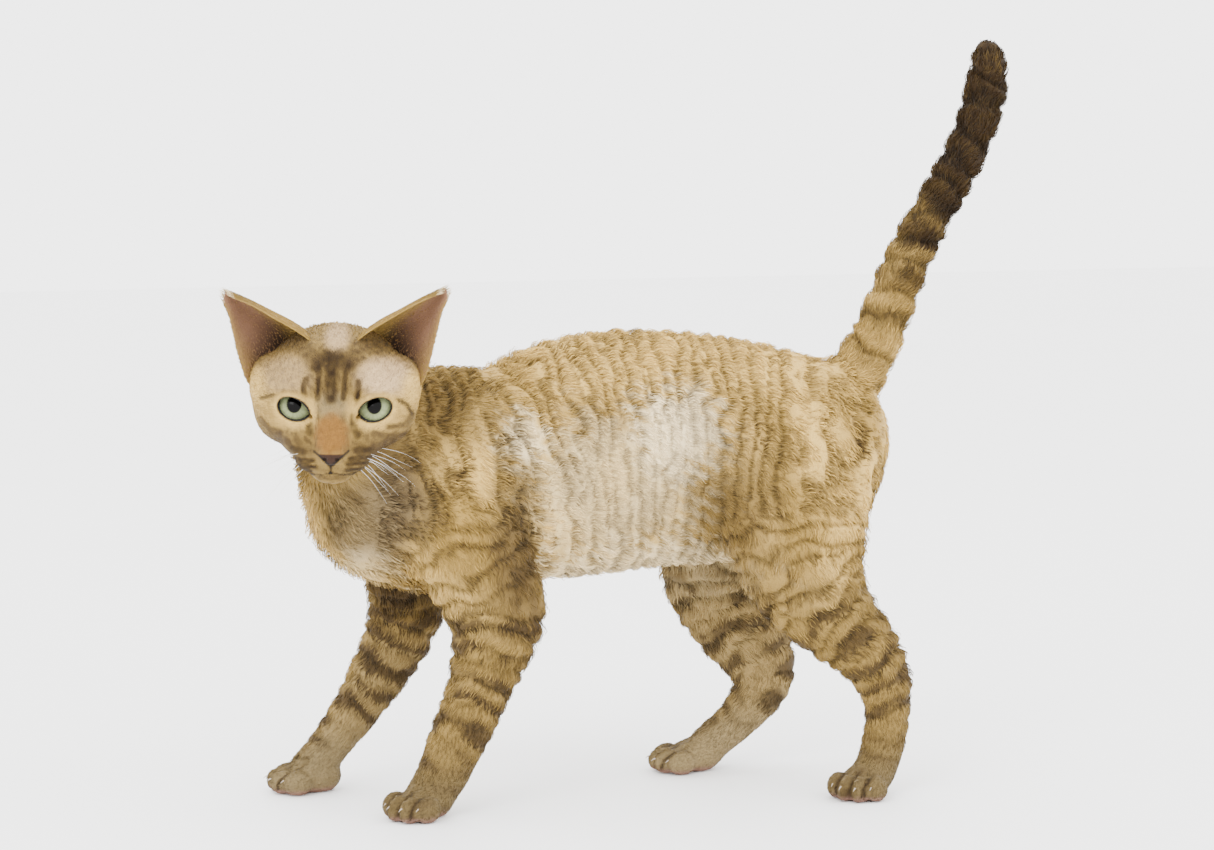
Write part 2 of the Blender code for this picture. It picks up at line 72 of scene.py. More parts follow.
# The eyeballs: how far they are apart, how far both are off the frame's middle, and their radius.
EYE_APART = 42
EYE_SHIFT = (0.8, 0, 1)
EYE_RADIUS = 10.5
# How many rings an eyeball has between its poles, and how many points go around it.
EYE_RINGS = 71
EYE_AROUND = 48
# The middle of the pupil, from the middle of the eyeball, as seen from the front.
PUPIL_AT = (-0.2, 3.9)
# The lids that cover each eyeball: their radius and blend.
LIDS_RADIUS = 12.2
LIDS_BLEND = 2.5
# The opening between the lids: its centre from the eyeball's, its semi-axes and its slant.
LIDS_AT = (0.1, -8.6, 2.3)
LIDS_SIZE = (8.8, 12, 6.3)
LIDS_SLANT = 14
# The inner corner of the opening, from the opening's centre, and the fold of the brow over the upper lid.
CORNER = ((-7.6, 0, -3.3), (3.2, 9, 1.2), 36)
BROW = (
    (11.2, -12.2, 3.2, 1.8, 1.6),
    (14.5, -11.8, 8.3, 2.3, 2.2),
    (21.5, -10.2, 12.3, 2.4, 2.4),
    (28.5, -6.5, 12.6, 2.2, 2.2),
    (33, -1, 9.5, 1.8, 1.8),
)

# The spine bends to the left: x = SPINE_LOW + SPINE_BOW * ((y - SPINE_MID) / SPINE_REACH) ** 2.
SPINE_LOW = -10
SPINE_BOW = 24
SPINE_MID = -10
SPINE_REACH = 150

# Stations are rows of centre x, y, z, half width and half depth.
# The trunk's rows leave x out, because the spine gives it.
TRUNK = (
    (127, 179, 34, 48),
    (114, 183, 42, 56),
    (92, 186, 46, 60.5),
    (62, 189, 45, 64.5),
    (30, 190.5, 45, 67),
    (-5, 189.5, 47, 68.5),
    (-36, 184.5, 48, 66),
    (-62, 177, 46, 60),
    (-92, 175, 43, 61),
    (-118, 172, 40, 56),
    (-137, 169, 38, 47),
    (-150, 167, 34, 38),
)
NECK = (
    (-2, -88, 193, 34, 46.5),
    (0, -116, 197, 34, 45),
    (5, -142, 200, 32, 41),
    (13, -158, 206, 30, 35),
)
TAIL = (
    (2, 106, 198, 16, 17),
    (2, 134, 221, 16, 19),
    (2, 152, 247, 14, 16),
    (2, 164, 275, 13, 15),
    (2, 174.5, 299, 12.5, 14),
    (2, 189, 324, 12.5, 13.5),
    (2, 206, 353, 12, 13),
    (2, 216.5, 380, 12, 13),
    (2, 220, 398, 11.5, 12.5),
    (2, 219.5, 412, 9, 9),
)
FORELEG_LEFT = (
    (30, -100, 165, 16, 28),
    (37, -92, 140, 18, 31),
    (40, -80, 112, 18.5, 28.5),
    (41, -84, 88, 17, 22.5),
    (39, -90, 68, 15, 18.5),
    (37, -97, 50, 14, 17.5),
    (35, -104, 34, 14, 16),
    (34, -110, 20, 14.5, 14.5),
    (33, -116, 12, 14, 12.5),
)
FORELEG_RIGHT = (
    (-30, -118, 160, 16, 24),
    (-37, -114, 133, 18, 25),
    (-42, -109, 108, 18, 23.5),
    (-43, -115.5, 84, 15.5, 20),
    (-44, -126.5, 64, 14, 17),
    (-45, -138, 46, 13, 14.5),
    (-46, -150, 30, 13, 12.5),
    (-47, -160, 18, 13.5, 11.5),
    (-47, -168, 12, 13, 10.5),
)
HIND_LEFT = (
    (24, 92, 186, 18, 34),
    (32, 94, 158, 21, 43),
    (42, 96, 126, 19, 37),
    (48, 111, 101, 16, 26.5),
    (51, 128, 83, 14, 21),
    (52, 140, 64, 12, 17),
    (52, 142.5, 44, 11.5, 13.5),
    (52, 140, 27, 12, 13),
    (52, 136, 14, 13, 12),
)
HIND_RIGHT = (
    (-22, 86, 186, 18, 34),
    (-30, 82, 156, 21, 43),
    (-39, 75, 118, 19, 38),
    (-41, 84, 88, 15.5, 28.5),
    (-41, 98, 66, 13.5, 23),
    (-40, 101, 48, 12, 18.5),
    (-39, 87, 29, 12, 13),
    (-37, 68, 15, 12.5, 11.5),
)
# Muscles over the ribs and the pelvis: centre, semi-axes and turns.
MUSCLES = (
    ((26, -84, 190), (16, 32, 40), (-22, 0, 0)),
    ((-26, -100, 188), (16, 30, 38), (-22, 0, 0)),
    ((29, 86, 172), (21, 44, 42), (20, 0, 0)),
    ((-25, 80, 172), (20, 44, 42), (20, 0, 0)),
)

# The masses of the head in its own frame: centre, semi-axes, turns and blend. Each pair stands on both sides.
SKULL = (
    ((0, 19, 9), (38, 35, 32), (0, 0, 0), 8),
    ((0, 40, 2), (29, 20, 24), (0, 0, 0), 10),
    ((0, 4, -18), (24, 25, 13), (0, 0, 0), 10),
    ((0, 2, 19), (24, 13, 17), (0, 0, 0), 8),
)
SKULL_PAIRS = (
    ((26.5, 11, -2), (17.5, 23, 20.5), (0, 0, 0), 9),
    ((36, 15, 11), (10, 14, 13), (0, 0, 0), 8),
)
FACE = (
    ((0, -9, -24), (14, 16, 10), (0, 0, 0), 6),
    ((0, -17, -30), (11, 9.5, 6), (0, 0, 0), 4),
)
FACE_PAIRS = (
    ((20, -1, 11), (15, 9, 6), (0, -14, 0), 7),
    ((16, -7, -13), (12, 14, 11), (0, 0, 0), 6),
    ((9.5, -17.5, -22), (10.5, 10, 7.5), (0, 0, 0), 4.5),
)
# The bridge of the nose, down to the nose leather.
BRIDGE = (
    (0, -2, 14, 12, 9),
    (0, -10, 4, 10.5, 9),
    (0, -17, -6, 9.5, 8.5),
    (0, -23, -14, 8.5, 7),
    (0, -24.5, -17, 7.5, 5.5),
)
NOSE = ((0, -26.5, -18), (6.8, 4, 4.2), (-20, 0, 0), 1)
NOSTRIL = ((3.3, -30.6, -18.6), (1.7, 3, 1.4), (0, 25, 0), 0.5)
# The lips' line from the middle out to one corner, and the groove under the nose.
LIPS = (
    (0, -28.5, -26, 1, 1),
    (6, -27, -27.8, 1, 1),
    (12, -22, -27.5, 1, 1),
    (16.5, -14, -25, 1, 1),
)
GROOVE = ((0, -31, -21.5, 0.8, 1), (0, -28.8, -26, 0.8, 1))
# An ear's rows, from its root up to its tip: the front rim, the ridge of its back and the outer rim.
EAR = (
    ((9, 8, 24), (16, 34, 15), (42, 12, 4)),
    ((10, 5, 33), (20, 35, 26), (47, 10, 13)),
    ((18, 4.5, 40.5), (30, 34, 36), (50.5, 10, 25)),
    ((31, 6.5, 48), (41.5, 30, 45), (53, 11, 36)),
    ((44, 10.5, 54.5), (50, 24.5, 53), (56, 13.5, 48)),
    ((53.5, 15.5, 56.8), (57.5, 19.5, 59.5), (59, 15.8, 54)),
)
# How much higher the left ear is carried than the right one, at the tip.
EAR_LIFT = 3.5
# How many rows are set between two of the ear's rows, and how many points lie across it.
EAR_STEPS = 8
EAR_COLUMNS = 17

# Each paw: name, the place of its wrist on the floor, and its turn.
PAWS = (
    ("forepaw_left", (33.5, -113.5, 0), 36),
    ("forepaw_right", (-46, -156, 0), 2),
    ("hindpaw_left", (52, 133, 0), 46),
    ("hindpaw_right", (-37, 65, 0), 4),
)
# A paw's pad: its middle, turns and semi-axes. Its toes: their places and half widths, level, half length and
# half height.
PAW_PAD = ((0, -7, 8), (0, 0, 0), (13.5, 16, 11))
TOES = ((-11.5, -19, 6.8), (-4.3, -25, 7.2), (4.3, -25, 7.2), (11.5, -19, 6.8))
TOE_LEVEL = 7
TOE_SIZE = (9.5, 8)
# The clefts between the toes, from the front up and back over the paw, at each of three places sideways.
CLEFTS = (-8.2, 0, 8.2)
CLEFT = (
    (1.03, -34, 2, 2.3, 2.3),
    (1, -31, 10, 2.3, 2.3),
    (0.9, -21, 16, 2, 2),
    (0.75, -12, 18.5, 1.4, 1.4),
)

# The rows of whiskers on a pad: height, depth and first place sideways in the head's frame, and tilt.
WHISKER_ROWS = ((-17, -22, 10, 0.02), (-20, -23, 11, -0.25), (-23, -22.5, 11.5, -0.55))
WHISKERS_IN_ROW = 4
WHISKER_SEED = 9
# A claw's root: how far it is before its toe's middle, its level and its radius.
CLAW_ROOT = (7.4, 9, 0.5)

# The camera: its direction from the cat's front towards its left, its tilt down, its distance and its offset.
CAMERA_ANGLE = 73
CAMERA_PITCH = 6.3017
CAMERA_REACH = 1.9
CAMERA_OFFSET = (0.03957, -0.0173, 0.42)
# What the lights look at, and each light: name, place, share of the main light's power and size.
LIT_POINT = (0, 0, 0.2)
LIGHTS = (("key", (1.6, -1.6, 2.0), 1, 1.2), ("fill", (1.2, 1.4, 1.4), 0.35, 1.6))

# The clay's blocks, from corner to corner, and what their cells hold where nothing is near.
BODY_BLOCK = ((-80, -215, -6), (82, 240, 430))
HEAD_BLOCK = ((-22, -226, 158), (104, -112, 284))
FAR = 40
# Over how much the forms blend into each other.
MUSCLE_BLEND = 16
LIMB_BLEND = 12
TAIL_BLEND = 10
PAD_BLEND = 5
TOE_BLEND = 1.6
BRIDGE_BLEND = 4
CLEFT_BLEND = 1.2
BROW_BLEND = 1.6
LIP_BLEND = 0.5
# How far above the floor the soles are cut flat.
SOLE_LEVEL = 0.15

# A tuft's girth at its root, at its first bend and beyond.
GIRTHS = (0.75, 1, 0.8)
# The most tufts in one piece, so that it stays under 200,000 triangles.
MOST_TUFTS = 12000
# Half the width of a tuft's patch on the map for baking.
HALF_PATCH = 0.0015

# All solids but the eyeballs: the skin and its coat stand in for them.
FLESH_NODES = [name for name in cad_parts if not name.startswith("eye")]


def spine_x(y):
    """The sideways place of the spine at a distance along the body."""
    return SPINE_LOW + SPINE_BOW * ((y - SPINE_MID) / SPINE_REACH) ** 2


def smooth_rows(rows, steps):
    """The rows with others between them, on a Catmull-Rom curve."""
    table = np.array(rows, float)
    padded = np.concatenate([[2 * table[0] - table[1]], table, [2 * table[-1] - table[-2]]])
    found = []
    for i in range(len(table) - 1):
        a, b, c, d = padded[i : i + 4]
        for t in np.arange(steps) / steps:
            bend = 2 * a - 5 * b + 4 * c - d
            twist = 3 * b - 3 * c + d - a
            found.append((2 * b + (c - a) * t + bend * t**2 + twist * t**3) / 2)
    return np.array(found + [table[-1]])


def turned(centre, turns):
    """A place and its turns about X, Y and Z, in degrees, as a matrix in millimetres."""
    place = Matrix.Translation(centre)
    for axis, angle in zip("XYZ", turns):
        place = place @ Matrix.Rotation(math.radians(angle), 4, axis)
    return place


def head_place():
    """The head's frame in the cat's frame."""
    return (
        Matrix.Translation(HEAD_AT)
        @ Matrix.Rotation(math.radians(HEAD_TURN), 4, "Z")
        @ Matrix.Rotation(math.radians(HEAD_NOD), 4, "X")
        @ Matrix.Rotation(math.radians(HEAD_TILT), 4, "Y")
    )


def eye_centre(side):
    """The middle of the eyeball on one side, in the head's frame."""
    return Vector((side * EYE_APART / 2, 0, 0)) + Vector(EYE_SHIFT)


def into(place, points):
    """Points of the frame around a place in the place's own frame."""
    return (points - np.array(place.translation)) @ np.array(place.to_3x3())


def out_of(place, points):
    """Points of a place's own frame in the frame around it."""
    return points @ np.array(place.to_3x3()).T + np.array(place.translation)


def solid_shift():
    """What moves the cat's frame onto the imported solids, in metres."""
    low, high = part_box("eye_left")
    return (low + high) / 2 - head_place() @ eye_centre(1) * MM


def mix(a, b, share):
    """Goes from a to b by a share, or by one share for each row."""
    return a + (b - a) * share


def blend_in(tone, colour, share):
    """The colours in the rows of tone, mixed with another by a share for each row."""
    return mix(tone, colour, share[:, None])


def unit(vectors):
    """The vectors in the last axis at length 1."""
    return vectors / np.maximum(np.linalg.norm(vectors, axis=-1, keepdims=True), 1e-9)


def ease(value, low, high):
    """Rises smoothly from 0 at low to 1 at high."""
    share = np.clip((value - low) / (high - low), 0, 1)
    return share * share * (3 - 2 * share)


def wobble(points, size, seed):
    """Smooth noise from about -1 to 1 whose bumps are about so many millimetres across."""
    rng = np.random.default_rng(seed)
    total = np.zeros(len(points))
    for _ in range(7):
        way = rng.normal(size=3)
        way *= 2 * math.pi / size * rng.uniform(0.6, 1.3) / np.linalg.norm(way)
        total += np.sin(points @ way + rng.uniform(0, 6.3))
    return total / 3.2


def coat_depth(x, y, z):
    """How far the skin lies inside the outline of the coat."""
    depth = np.interp(z, [10, 30, 100, 160], [0.8, 1.1, 2.0, 2.6])
    depth = depth + x * 0
    depth = mix(depth, 2.2, ease(y, 125, 150) * ease(z, 215, 240))
    bare = ((y - 12) / 52) ** 2 + ((z - 180) / 48) ** 2
    depth = mix(depth, 1.6, 1 - ease(bare, 0.5, 1.5))
    place = np.array(head_place())
    x, y, z = x - place[0, 3], y - place[1, 3], z - place[2, 3]
    sideways, back, up = [place[0, k] * x + place[1, k] * y + place[2, k] * z for k in range(3)]
    reach = np.sqrt(sideways * sideways + (back - 12) ** 2 + up * up)
    face = np.interp(back, [-15, 5, 35, 55], [0.6, 0.9, 1.8, 2.8])
    return mix(face, depth, ease(reach, 46, 66))


class Clay:
    """A block of cells that hold the distance to the surface. Forms blend as they are added."""

    def __init__(self, low, high, cell):
        self.low = np.array(low, float)
        self.cell = cell
        count = np.ceil((np.array(high) - self.low) / cell).astype(int) + 1
        self.field = np.full(count, FAR, np.float32)

    def axes(self, first, last):
        """The places of cells along each axis."""
        return [self.low[i] + self.cell * np.arange(first[i], last[i]) for i in range(3)]

    def near(self, low, high):
        """The cells between two corners, and their places."""
        first = np.clip(((low - self.low) / self.cell).astype(int), 0, None)
        last = np.minimum(((high - self.low) / self.cell).astype(int) + 2, self.field.shape)
        last = np.maximum(first, last)
        part = tuple(slice(a, b) for a, b in zip(first, last))
        return part, np.stack(np.meshgrid(*self.axes(first, last), indexing="ij"), -1)

    def blend(self, part, distance, soft, sign=1):
        """Adds a form by its distance in a part of the block, or cuts it out where the sign is -1."""
        old = sign * self.field[part]
        share = np.clip(0.5 + (distance - old) / (2 * soft), 0, 1)
        self.field[part] = sign * (distance + (old - distance) * share - soft * share * (1 - share))

    def ball(self, place, semi_axes, soft, sign=1):
        """Adds an ellipsoid, or cuts it out where the sign is -1."""
        centre = np.array(place.translation)
        reach = max(semi_axes) + soft + 3 * self.cell
        part, points = self.near(centre - reach, centre + reach)
        self.blend(part, oval(into(place, points), semi_axes), soft, sign)

    def tube(self, stations, soft, place=Matrix(), sign=1, steps=3):
        """Adds a tube of elliptical sections with rounded ends, or cuts it out where the sign is -1."""
        rows = smooth_rows(stations, steps)
        rotation = np.array(place.to_3x3())
        rows[:, :3] = rows[:, :3] @ rotation.T + np.array(place.translation)
        whole = np.full(self.field.shape, FAR, np.float32)
        for one, two in zip(rows, rows[1:]):
            reach = max(one[3:].max(), two[3:].max()) + soft + 3 * self.cell
            part, points = self.near(np.minimum(one, two)[:3] - reach, np.maximum(one, two)[:3] + reach)
            distance = strip(points, one, two, rotation[:, 0])[0]
            whole[part] = np.minimum(whole[part], distance)
        reach = rows[:, 3:].max() + soft + 3 * self.cell
        part, _ = self.near(rows[:, :3].min(0) - reach, rows[:, :3].max(0) + reach)
        self.blend(part, whole[part], soft, sign)

    def inset(self, depth):
        """Moves the surface in by a depth that depends on the place."""
        x, y, z = self.axes((0, 0, 0), self.field.shape)
        self.field += depth(x[:, None, None], y[None, :, None], z[None, None, :]).astype(np.float32)

    def reading(self, points):
        """The distance to the surface at points, between the cells."""
        spot = (points - self.low) / self.cell
        first = np.clip(spot.astype(int), 0, np.array(self.field.shape) - 2)
        share = np.clip(spot - first, 0, 1)
        total = np.zeros(len(points))
        for corner in np.ndindex(2, 2, 2):
            corner = np.array(corner)
            total += np.prod(np.where(corner, share, 1 - share), 1) * self.field[tuple((first + corner).T)]
        return total

    def outward(self, points, step=1.5):
        """The unit vectors straight out of the surface."""
        steps = np.eye(3) * step
        return unit(np.stack([self.reading(points + d) - self.reading(points - d) for d in steps], 1))

    def close(self):
        """Shuts the block's walls, and fills corners so that no two sheets of the surface meet in an edge."""
        for axis in range(3):
            for end in (0, -1):
                wall = self.field.swapaxes(0, axis)[end]
                np.maximum(wall, self.cell, out=wall)
        crossings = 1
        while crossings:
            crossings = 0
            for one, two in ((0, 1), (1, 2), (0, 2)):
                grid = np.moveaxis(self.field, (one, two), (0, 1))
                a, b = grid[:-1, :-1] < 0, grid[1:, :-1] < 0
                c, d = grid[:-1, 1:] < 0, grid[1:, 1:] < 0
                met = (a == d) & (b == c) & (a != b)
                crossings += met.sum()
                for corner in (grid[:-1, :-1], grid[1:, :-1]):
                    corner[met & (corner >= 0)] = -0.1 * self.cell

    def surface(self):
        """The corners and the four-sided faces of the closed surface."""
        self.close()
        field = self.field
        inside = field < 0
        shape = np.array(field.shape) - 1
        corners = [np.array(corner) for corner in np.ndindex(2, 2, 2)]
        count = np.zeros(shape, np.int8)
        for corner in corners:
            count += inside[tuple(slice(c, c + n) for c, n in zip(corner, shape))]
        cells = np.argwhere((count > 0) & (count < 8))
        number = np.full(shape, -1, np.int32)
        number[tuple(cells.T)] = np.arange(len(cells))
        total = np.zeros(cells.shape)
        hits = np.zeros(len(cells))
        quads = []
        for axis in range(3):
            ahead = np.eye(3, dtype=int)[axis]
            for corner in corners:
                if corner[axis]:
                    continue
                a = field[tuple((cells + corner).T)]
                b = field[tuple((cells + corner + ahead).T)]
                cross = (a < 0) != (b < 0)
                share = np.where(cross, a / np.where(cross, a - b, 1), 0)
                total += cross[:, None] * (corner + ahead * share[:, None])
                hits += cross
            u = np.eye(3, dtype=int)[(axis + 1) % 3]
            v = np.eye(3, dtype=int)[(axis + 2) % 3]
            near = tuple(slice(0, n) if k == axis else slice(1, n) for k, n in enumerate(shape))
            far = tuple(slice(1, n + 1) if k == axis else slice(1, n) for k, n in enumerate(shape))
            for low_inside in (True, False):
                edges = np.argwhere((inside[near] == low_inside) & (inside[far] != low_inside)) + 1 - ahead
                around = [number[tuple((edges - step).T)] for step in (0 * u, u, u + v, v)]
                quads.append(np.stack(around if low_inside else around[::-1], 1))
        return self.low + self.cell * (cells + total / hits[:, None]), np.concatenate(quads)


def oval(local, size):
    """The distance to an ellipsoid, near enough for blending."""
    size = np.array(size)
    one = np.linalg.norm(local / size, axis=-1)
    two = np.linalg.norm(local / size**2, axis=-1)
    return one * (one - 1) / np.maximum(two, 1e-6)


def strip(points, one, two, sideways):
    """The distance to one stretch of a tube, the length along it, its direction and the angle around it."""
    along = two[:3] - one[:3]
    length = np.linalg.norm(along)
    along = along / length
    across = sideways - along * (along @ sideways)
    across /= np.linalg.norm(across)
    local = (points - one[:3]) @ np.stack([across, np.cross(along, across), along], 1)
    share = np.clip(local[..., 2] / length, 0, 1)
    angle = np.arctan2(local[..., 0], local[..., 1])
    local[..., 2] -= share * length
    size = one[3:] + (two[3:] - one[3:]) * share[..., None]
    size = np.concatenate([size, 0.8 * size.min(-1, keepdims=True)], -1)
    return oval(local, size), share * length, along, angle


def add_masses(clay, single, pairs, place):
    """Adds ellipsoids in the frame of a place: single ones, and pairs with one on each side."""
    for centre, semi_axes, turns, soft in single:
        clay.ball(place @ turned(centre, turns), semi_axes, soft)
    for centre, semi_axes, (nod, roll, turn), soft in pairs:
        for s in (-1, 1):
            x, y, z = centre
            clay.ball(place @ turned((s * x, y, z), (nod, s * roll, s * turn)), semi_axes, soft)


def trunk_rows():
    """The trunk's stations with their places along the bent spine."""
    return [(spine_x(y), y, z, wide, deep) for y, z, wide, deep in TRUNK]


def paw_place(wrist, turn):
    """A paw's own frame, in which it points to -Y."""
    return turned(wrist, (0, 0, turn))


def add_paw(clay, wrist, turn):
    """One paw: its pad, its four toes and the clefts between them."""
    place = paw_place(wrist, turn)
    clay.ball(place @ turned(*PAW_PAD[:2]), PAW_PAD[2], PAD_BLEND)
    for x, y, r in TOES:
        clay.ball(place @ turned((x, y, TOE_LEVEL), (0, 0, 0)), (r * 0.95, *TOE_SIZE), TOE_BLEND)
    for side in CLEFTS:
        clay.tube([(side * x, *rest) for x, *rest in CLEFT], CLEFT_BLEND, place, -1)


def body_clay(cell):
    """The whole cat without the fine forms of the face, inside the coat."""
    clay = Clay(*BODY_BLOCK, cell)
    clay.tube(trunk_rows(), 1)
    for centre, semi_axes, turns in MUSCLES:
        clay.ball(turned(centre, turns), semi_axes, MUSCLE_BLEND)
    add_masses(clay, SKULL, SKULL_PAIRS, head_place())
    clay.tube(NECK, LIMB_BLEND)
    clay.tube(TAIL, TAIL_BLEND)
    for limb in (FORELEG_LEFT, FORELEG_RIGHT, HIND_LEFT, HIND_RIGHT):
        clay.tube(limb, LIMB_BLEND)
    for _, wrist, turn in PAWS:
        add_paw(clay, wrist, turn)
    clay.inset(coat_depth)
    below, points = clay.near(clay.low, clay.low + (400, 500, 14))
    clay.field[below] = np.maximum(clay.field[below], SOLE_LEVEL - points[..., 2])
    return clay


def head_clay(cell):
    """The head with its lids, nose, nostrils and mouth, inside the coat."""
    place = head_place()
    clay = Clay(*HEAD_BLOCK, cell)
    add_masses(clay, SKULL, SKULL_PAIRS, place)
    add_masses(clay, FACE, FACE_PAIRS[:1], place)
    clay.tube(BRIDGE, BRIDGE_BLEND, place)
    add_masses(clay, (), FACE_PAIRS[1:], place)
    clay.tube(NECK, LIMB_BLEND)
    clay.inset(coat_depth)
    add_masses(clay, (NOSE,), (), place)
    centre, semi_axes, (nod, roll, turn), soft = NOSTRIL
    for s in (-1, 1):
        clay.ball(place @ turned(eye_centre(s), (0, 0, 0)), (LIDS_RADIUS - 0.4,) * 3, LIDS_BLEND)
        clay.ball(place @ lids_place(s), LIDS_SIZE, 0.4, -1)
        (x, y, z), corner, droop = CORNER
        opening = eye_centre(s) + Vector(LIDS_AT)
        clay.ball(place @ turned(opening + Vector((s * x, y, z)), (0, -s * droop, 0)), corner, 0.3, -1)
        clay.tube([(s * x, *rest) for x, *rest in BROW], BROW_BLEND, place)
        clay.ball(place @ turned((s * centre[0], *centre[1:]), (nod, s * roll, turn)), semi_axes, soft, -1)
        clay.tube([(s * x, *rest) for x, *rest in LIPS], LIP_BLEND, place, -1)
    clay.tube(GROOVE, LIP_BLEND, place, -1)
    return clay


class Shape:
    """The clay of this run, made once and read by several pieces."""

    made = {}

    @classmethod
    def of(cls, name):
        """The clay of the body or the head, and its surface's corners and faces."""
        if name not in cls.made:
            settings = bpy.context.scene.cat_skin
            if name == "body":
                clay = body_clay(settings.body_cell / MM)
            else:
                clay = head_clay(settings.head_cell / MM)
            cls.made[name] = (clay, *clay.surface())
        return cls.made[name]


def mesh_object(name, points, faces, tones=None, places=None):
    """A mesh object from points in the cat's frame and arrays of faces, each with its number of corners."""
    mesh = bpy.data.meshes.new(name)
    shift = np.array(solid_shift())
    mesh.vertices.add(len(points))
    mesh.vertices.foreach_set("co", (points * MM + shift).astype(np.float32).ravel())
    corners = np.concatenate([part.ravel() for part in faces])
    sizes = np.concatenate([np.full(len(part), part.shape[1]) for part in faces])
    mesh.loops.add(len(corners))
    mesh.loops.foreach_set("vertex_index", corners.astype(np.int32))
    mesh.polygons.add(len(sizes))
    mesh.polygons.foreach_set("loop_start", (np.cumsum(sizes) - sizes).astype(np.int32))
    mesh.update(calc_edges=True)
    mesh.validate()
    if tones is not None:
        layer = mesh.attributes.new("tone", "FLOAT_COLOR", "POINT")
        colours = np.column_stack([tones, np.ones(len(tones))])
        layer.data.foreach_set("color", colours.astype(np.float32).ravel())
    if places is not None:
        layer = mesh.uv_layers.new(name="OFBake")
        layer.data.foreach_set("uv", places[corners].astype(np.float32).ravel())
    obj = bpy.data.objects.new(name, mesh)
    bpy.context.scene.collection.objects.link(obj)
    return obj


# The coat's colours in linear light. The studio is bright, so they are deeper than they look in it.
CREAM = np.array((0.48, 0.31, 0.085))
TAN = np.array((0.25, 0.155, 0.036))
PAW = np.array((0.1, 0.068, 0.026))
SAND = np.array((0.14, 0.09, 0.026))
BROWN = np.array((0.043, 0.025, 0.0085))
DARK = np.array((0.0145, 0.0068, 0.0008))
PALE = np.array((0.68, 0.54, 0.31))
GREY = np.array((0.17, 0.125, 0.06))
ROSE = np.array((0.4, 0.27, 0.14))
ORANGE = np.array((0.15, 0.068, 0.0125))
ASH = np.array((0.12, 0.085, 0.042))
PINK = np.array((0.2, 0.11, 0.08))
LEATHER = np.array((0.023, 0.0105, 0.006))
EAR_SKIN = np.array((0.19, 0.1, 0.058))
# The next colour is painted shade deep in the ear's cup, at its root.
EAR_PAINTED_SHADE = np.array((0.018, 0.0105, 0.006))
BLACK = np.array((0.006, 0.0045, 0.0035))

# Rows of stations that the coat follows: name, stations, the way it lies along them and its ripples' spacing.
LIES = (
    ("trunk", trunk_rows(), -1, 8.5),
    ("neck", NECK, -1, 8.5),
    ("tail", TAIL, 1, 17),
    ("fore", FORELEG_LEFT, 1, 12.5),
    ("fore", FORELEG_RIGHT, 1, 12.5),
    ("hind", HIND_LEFT, 1, 11),
    ("hind", HIND_RIGHT, 1, 11),
)

# How far the waves stray from straight rings: the amount, the size of the bends and the noise's seed.
WAVE_BENDS = ((2, 34, 11), (1.1, 13, 12))
# Where each region stands in these rows, the head's being after the last, and how high the legs' lie rules.
TRUNK_ROW = 0
TAIL_ROW = 2
LEGS = (3, 4, 5, 6)
LEG_TOPS = (140, 140, 128, 128)
HEAD_ROW = 7

# In the head's frame: where the coat parts at the nose, and the middle and semi-axes of what counts as head.
NOSE_TIP = (0, -36, -16)
HEAD_MIDDLE = (0, 14, 2)
HEAD_SIZE = (42, 44, 42)

# Patches on the body: colour, middle (sideways from the spine), semi-axes, softness and strength. A patch
# lies on both flanks, unless its middle is on the right side.
PATCHES = (
    (CREAM, (0, 40, 248), (60, 120, 36), 0.5, 1),
    (PALE, (40, -14, 172), (50, 50, 40), 0.4, 0.47),
    (PALE, (36, 24, 204), (40, 24, 24), 0.35, 1),
    (PALE, (0, 10, 124), (46, 90, 22), 0.5, 0.8),
    (PALE, (34, -66, 203), (30, 13, 14), 0.6, 0.8),
    (CREAM, (44, 108, 176), (30, 18, 60), 0.6, 0.6),
    # The brown patch under the jaw is painted shade below the chin.
    (BROWN, (36, -132, 180), (24, 20, 28), 0.7, 0.85),
    (ASH, (28, -150, 166), (36, 28, 30), 0.5, 0.85),
    (PALE, (26, -152, 134), (30, 18, 12), 0.6, 0.3),
    (BROWN, (44, -72, 136), (28, 17, 48), 0.5, 0.95),
    (BROWN, (46, 56, 160), (26, 26, 48), 0.8, 0.62),
    (BROWN, (24, -104, 222), (50, 26, 24), 0.8, 0.75),
    # The brown patch high on the right foreleg is painted shade in the armpit.
    (BROWN, (-30, -118, 128), (30, 26, 28), 0.6, 0.95),
)

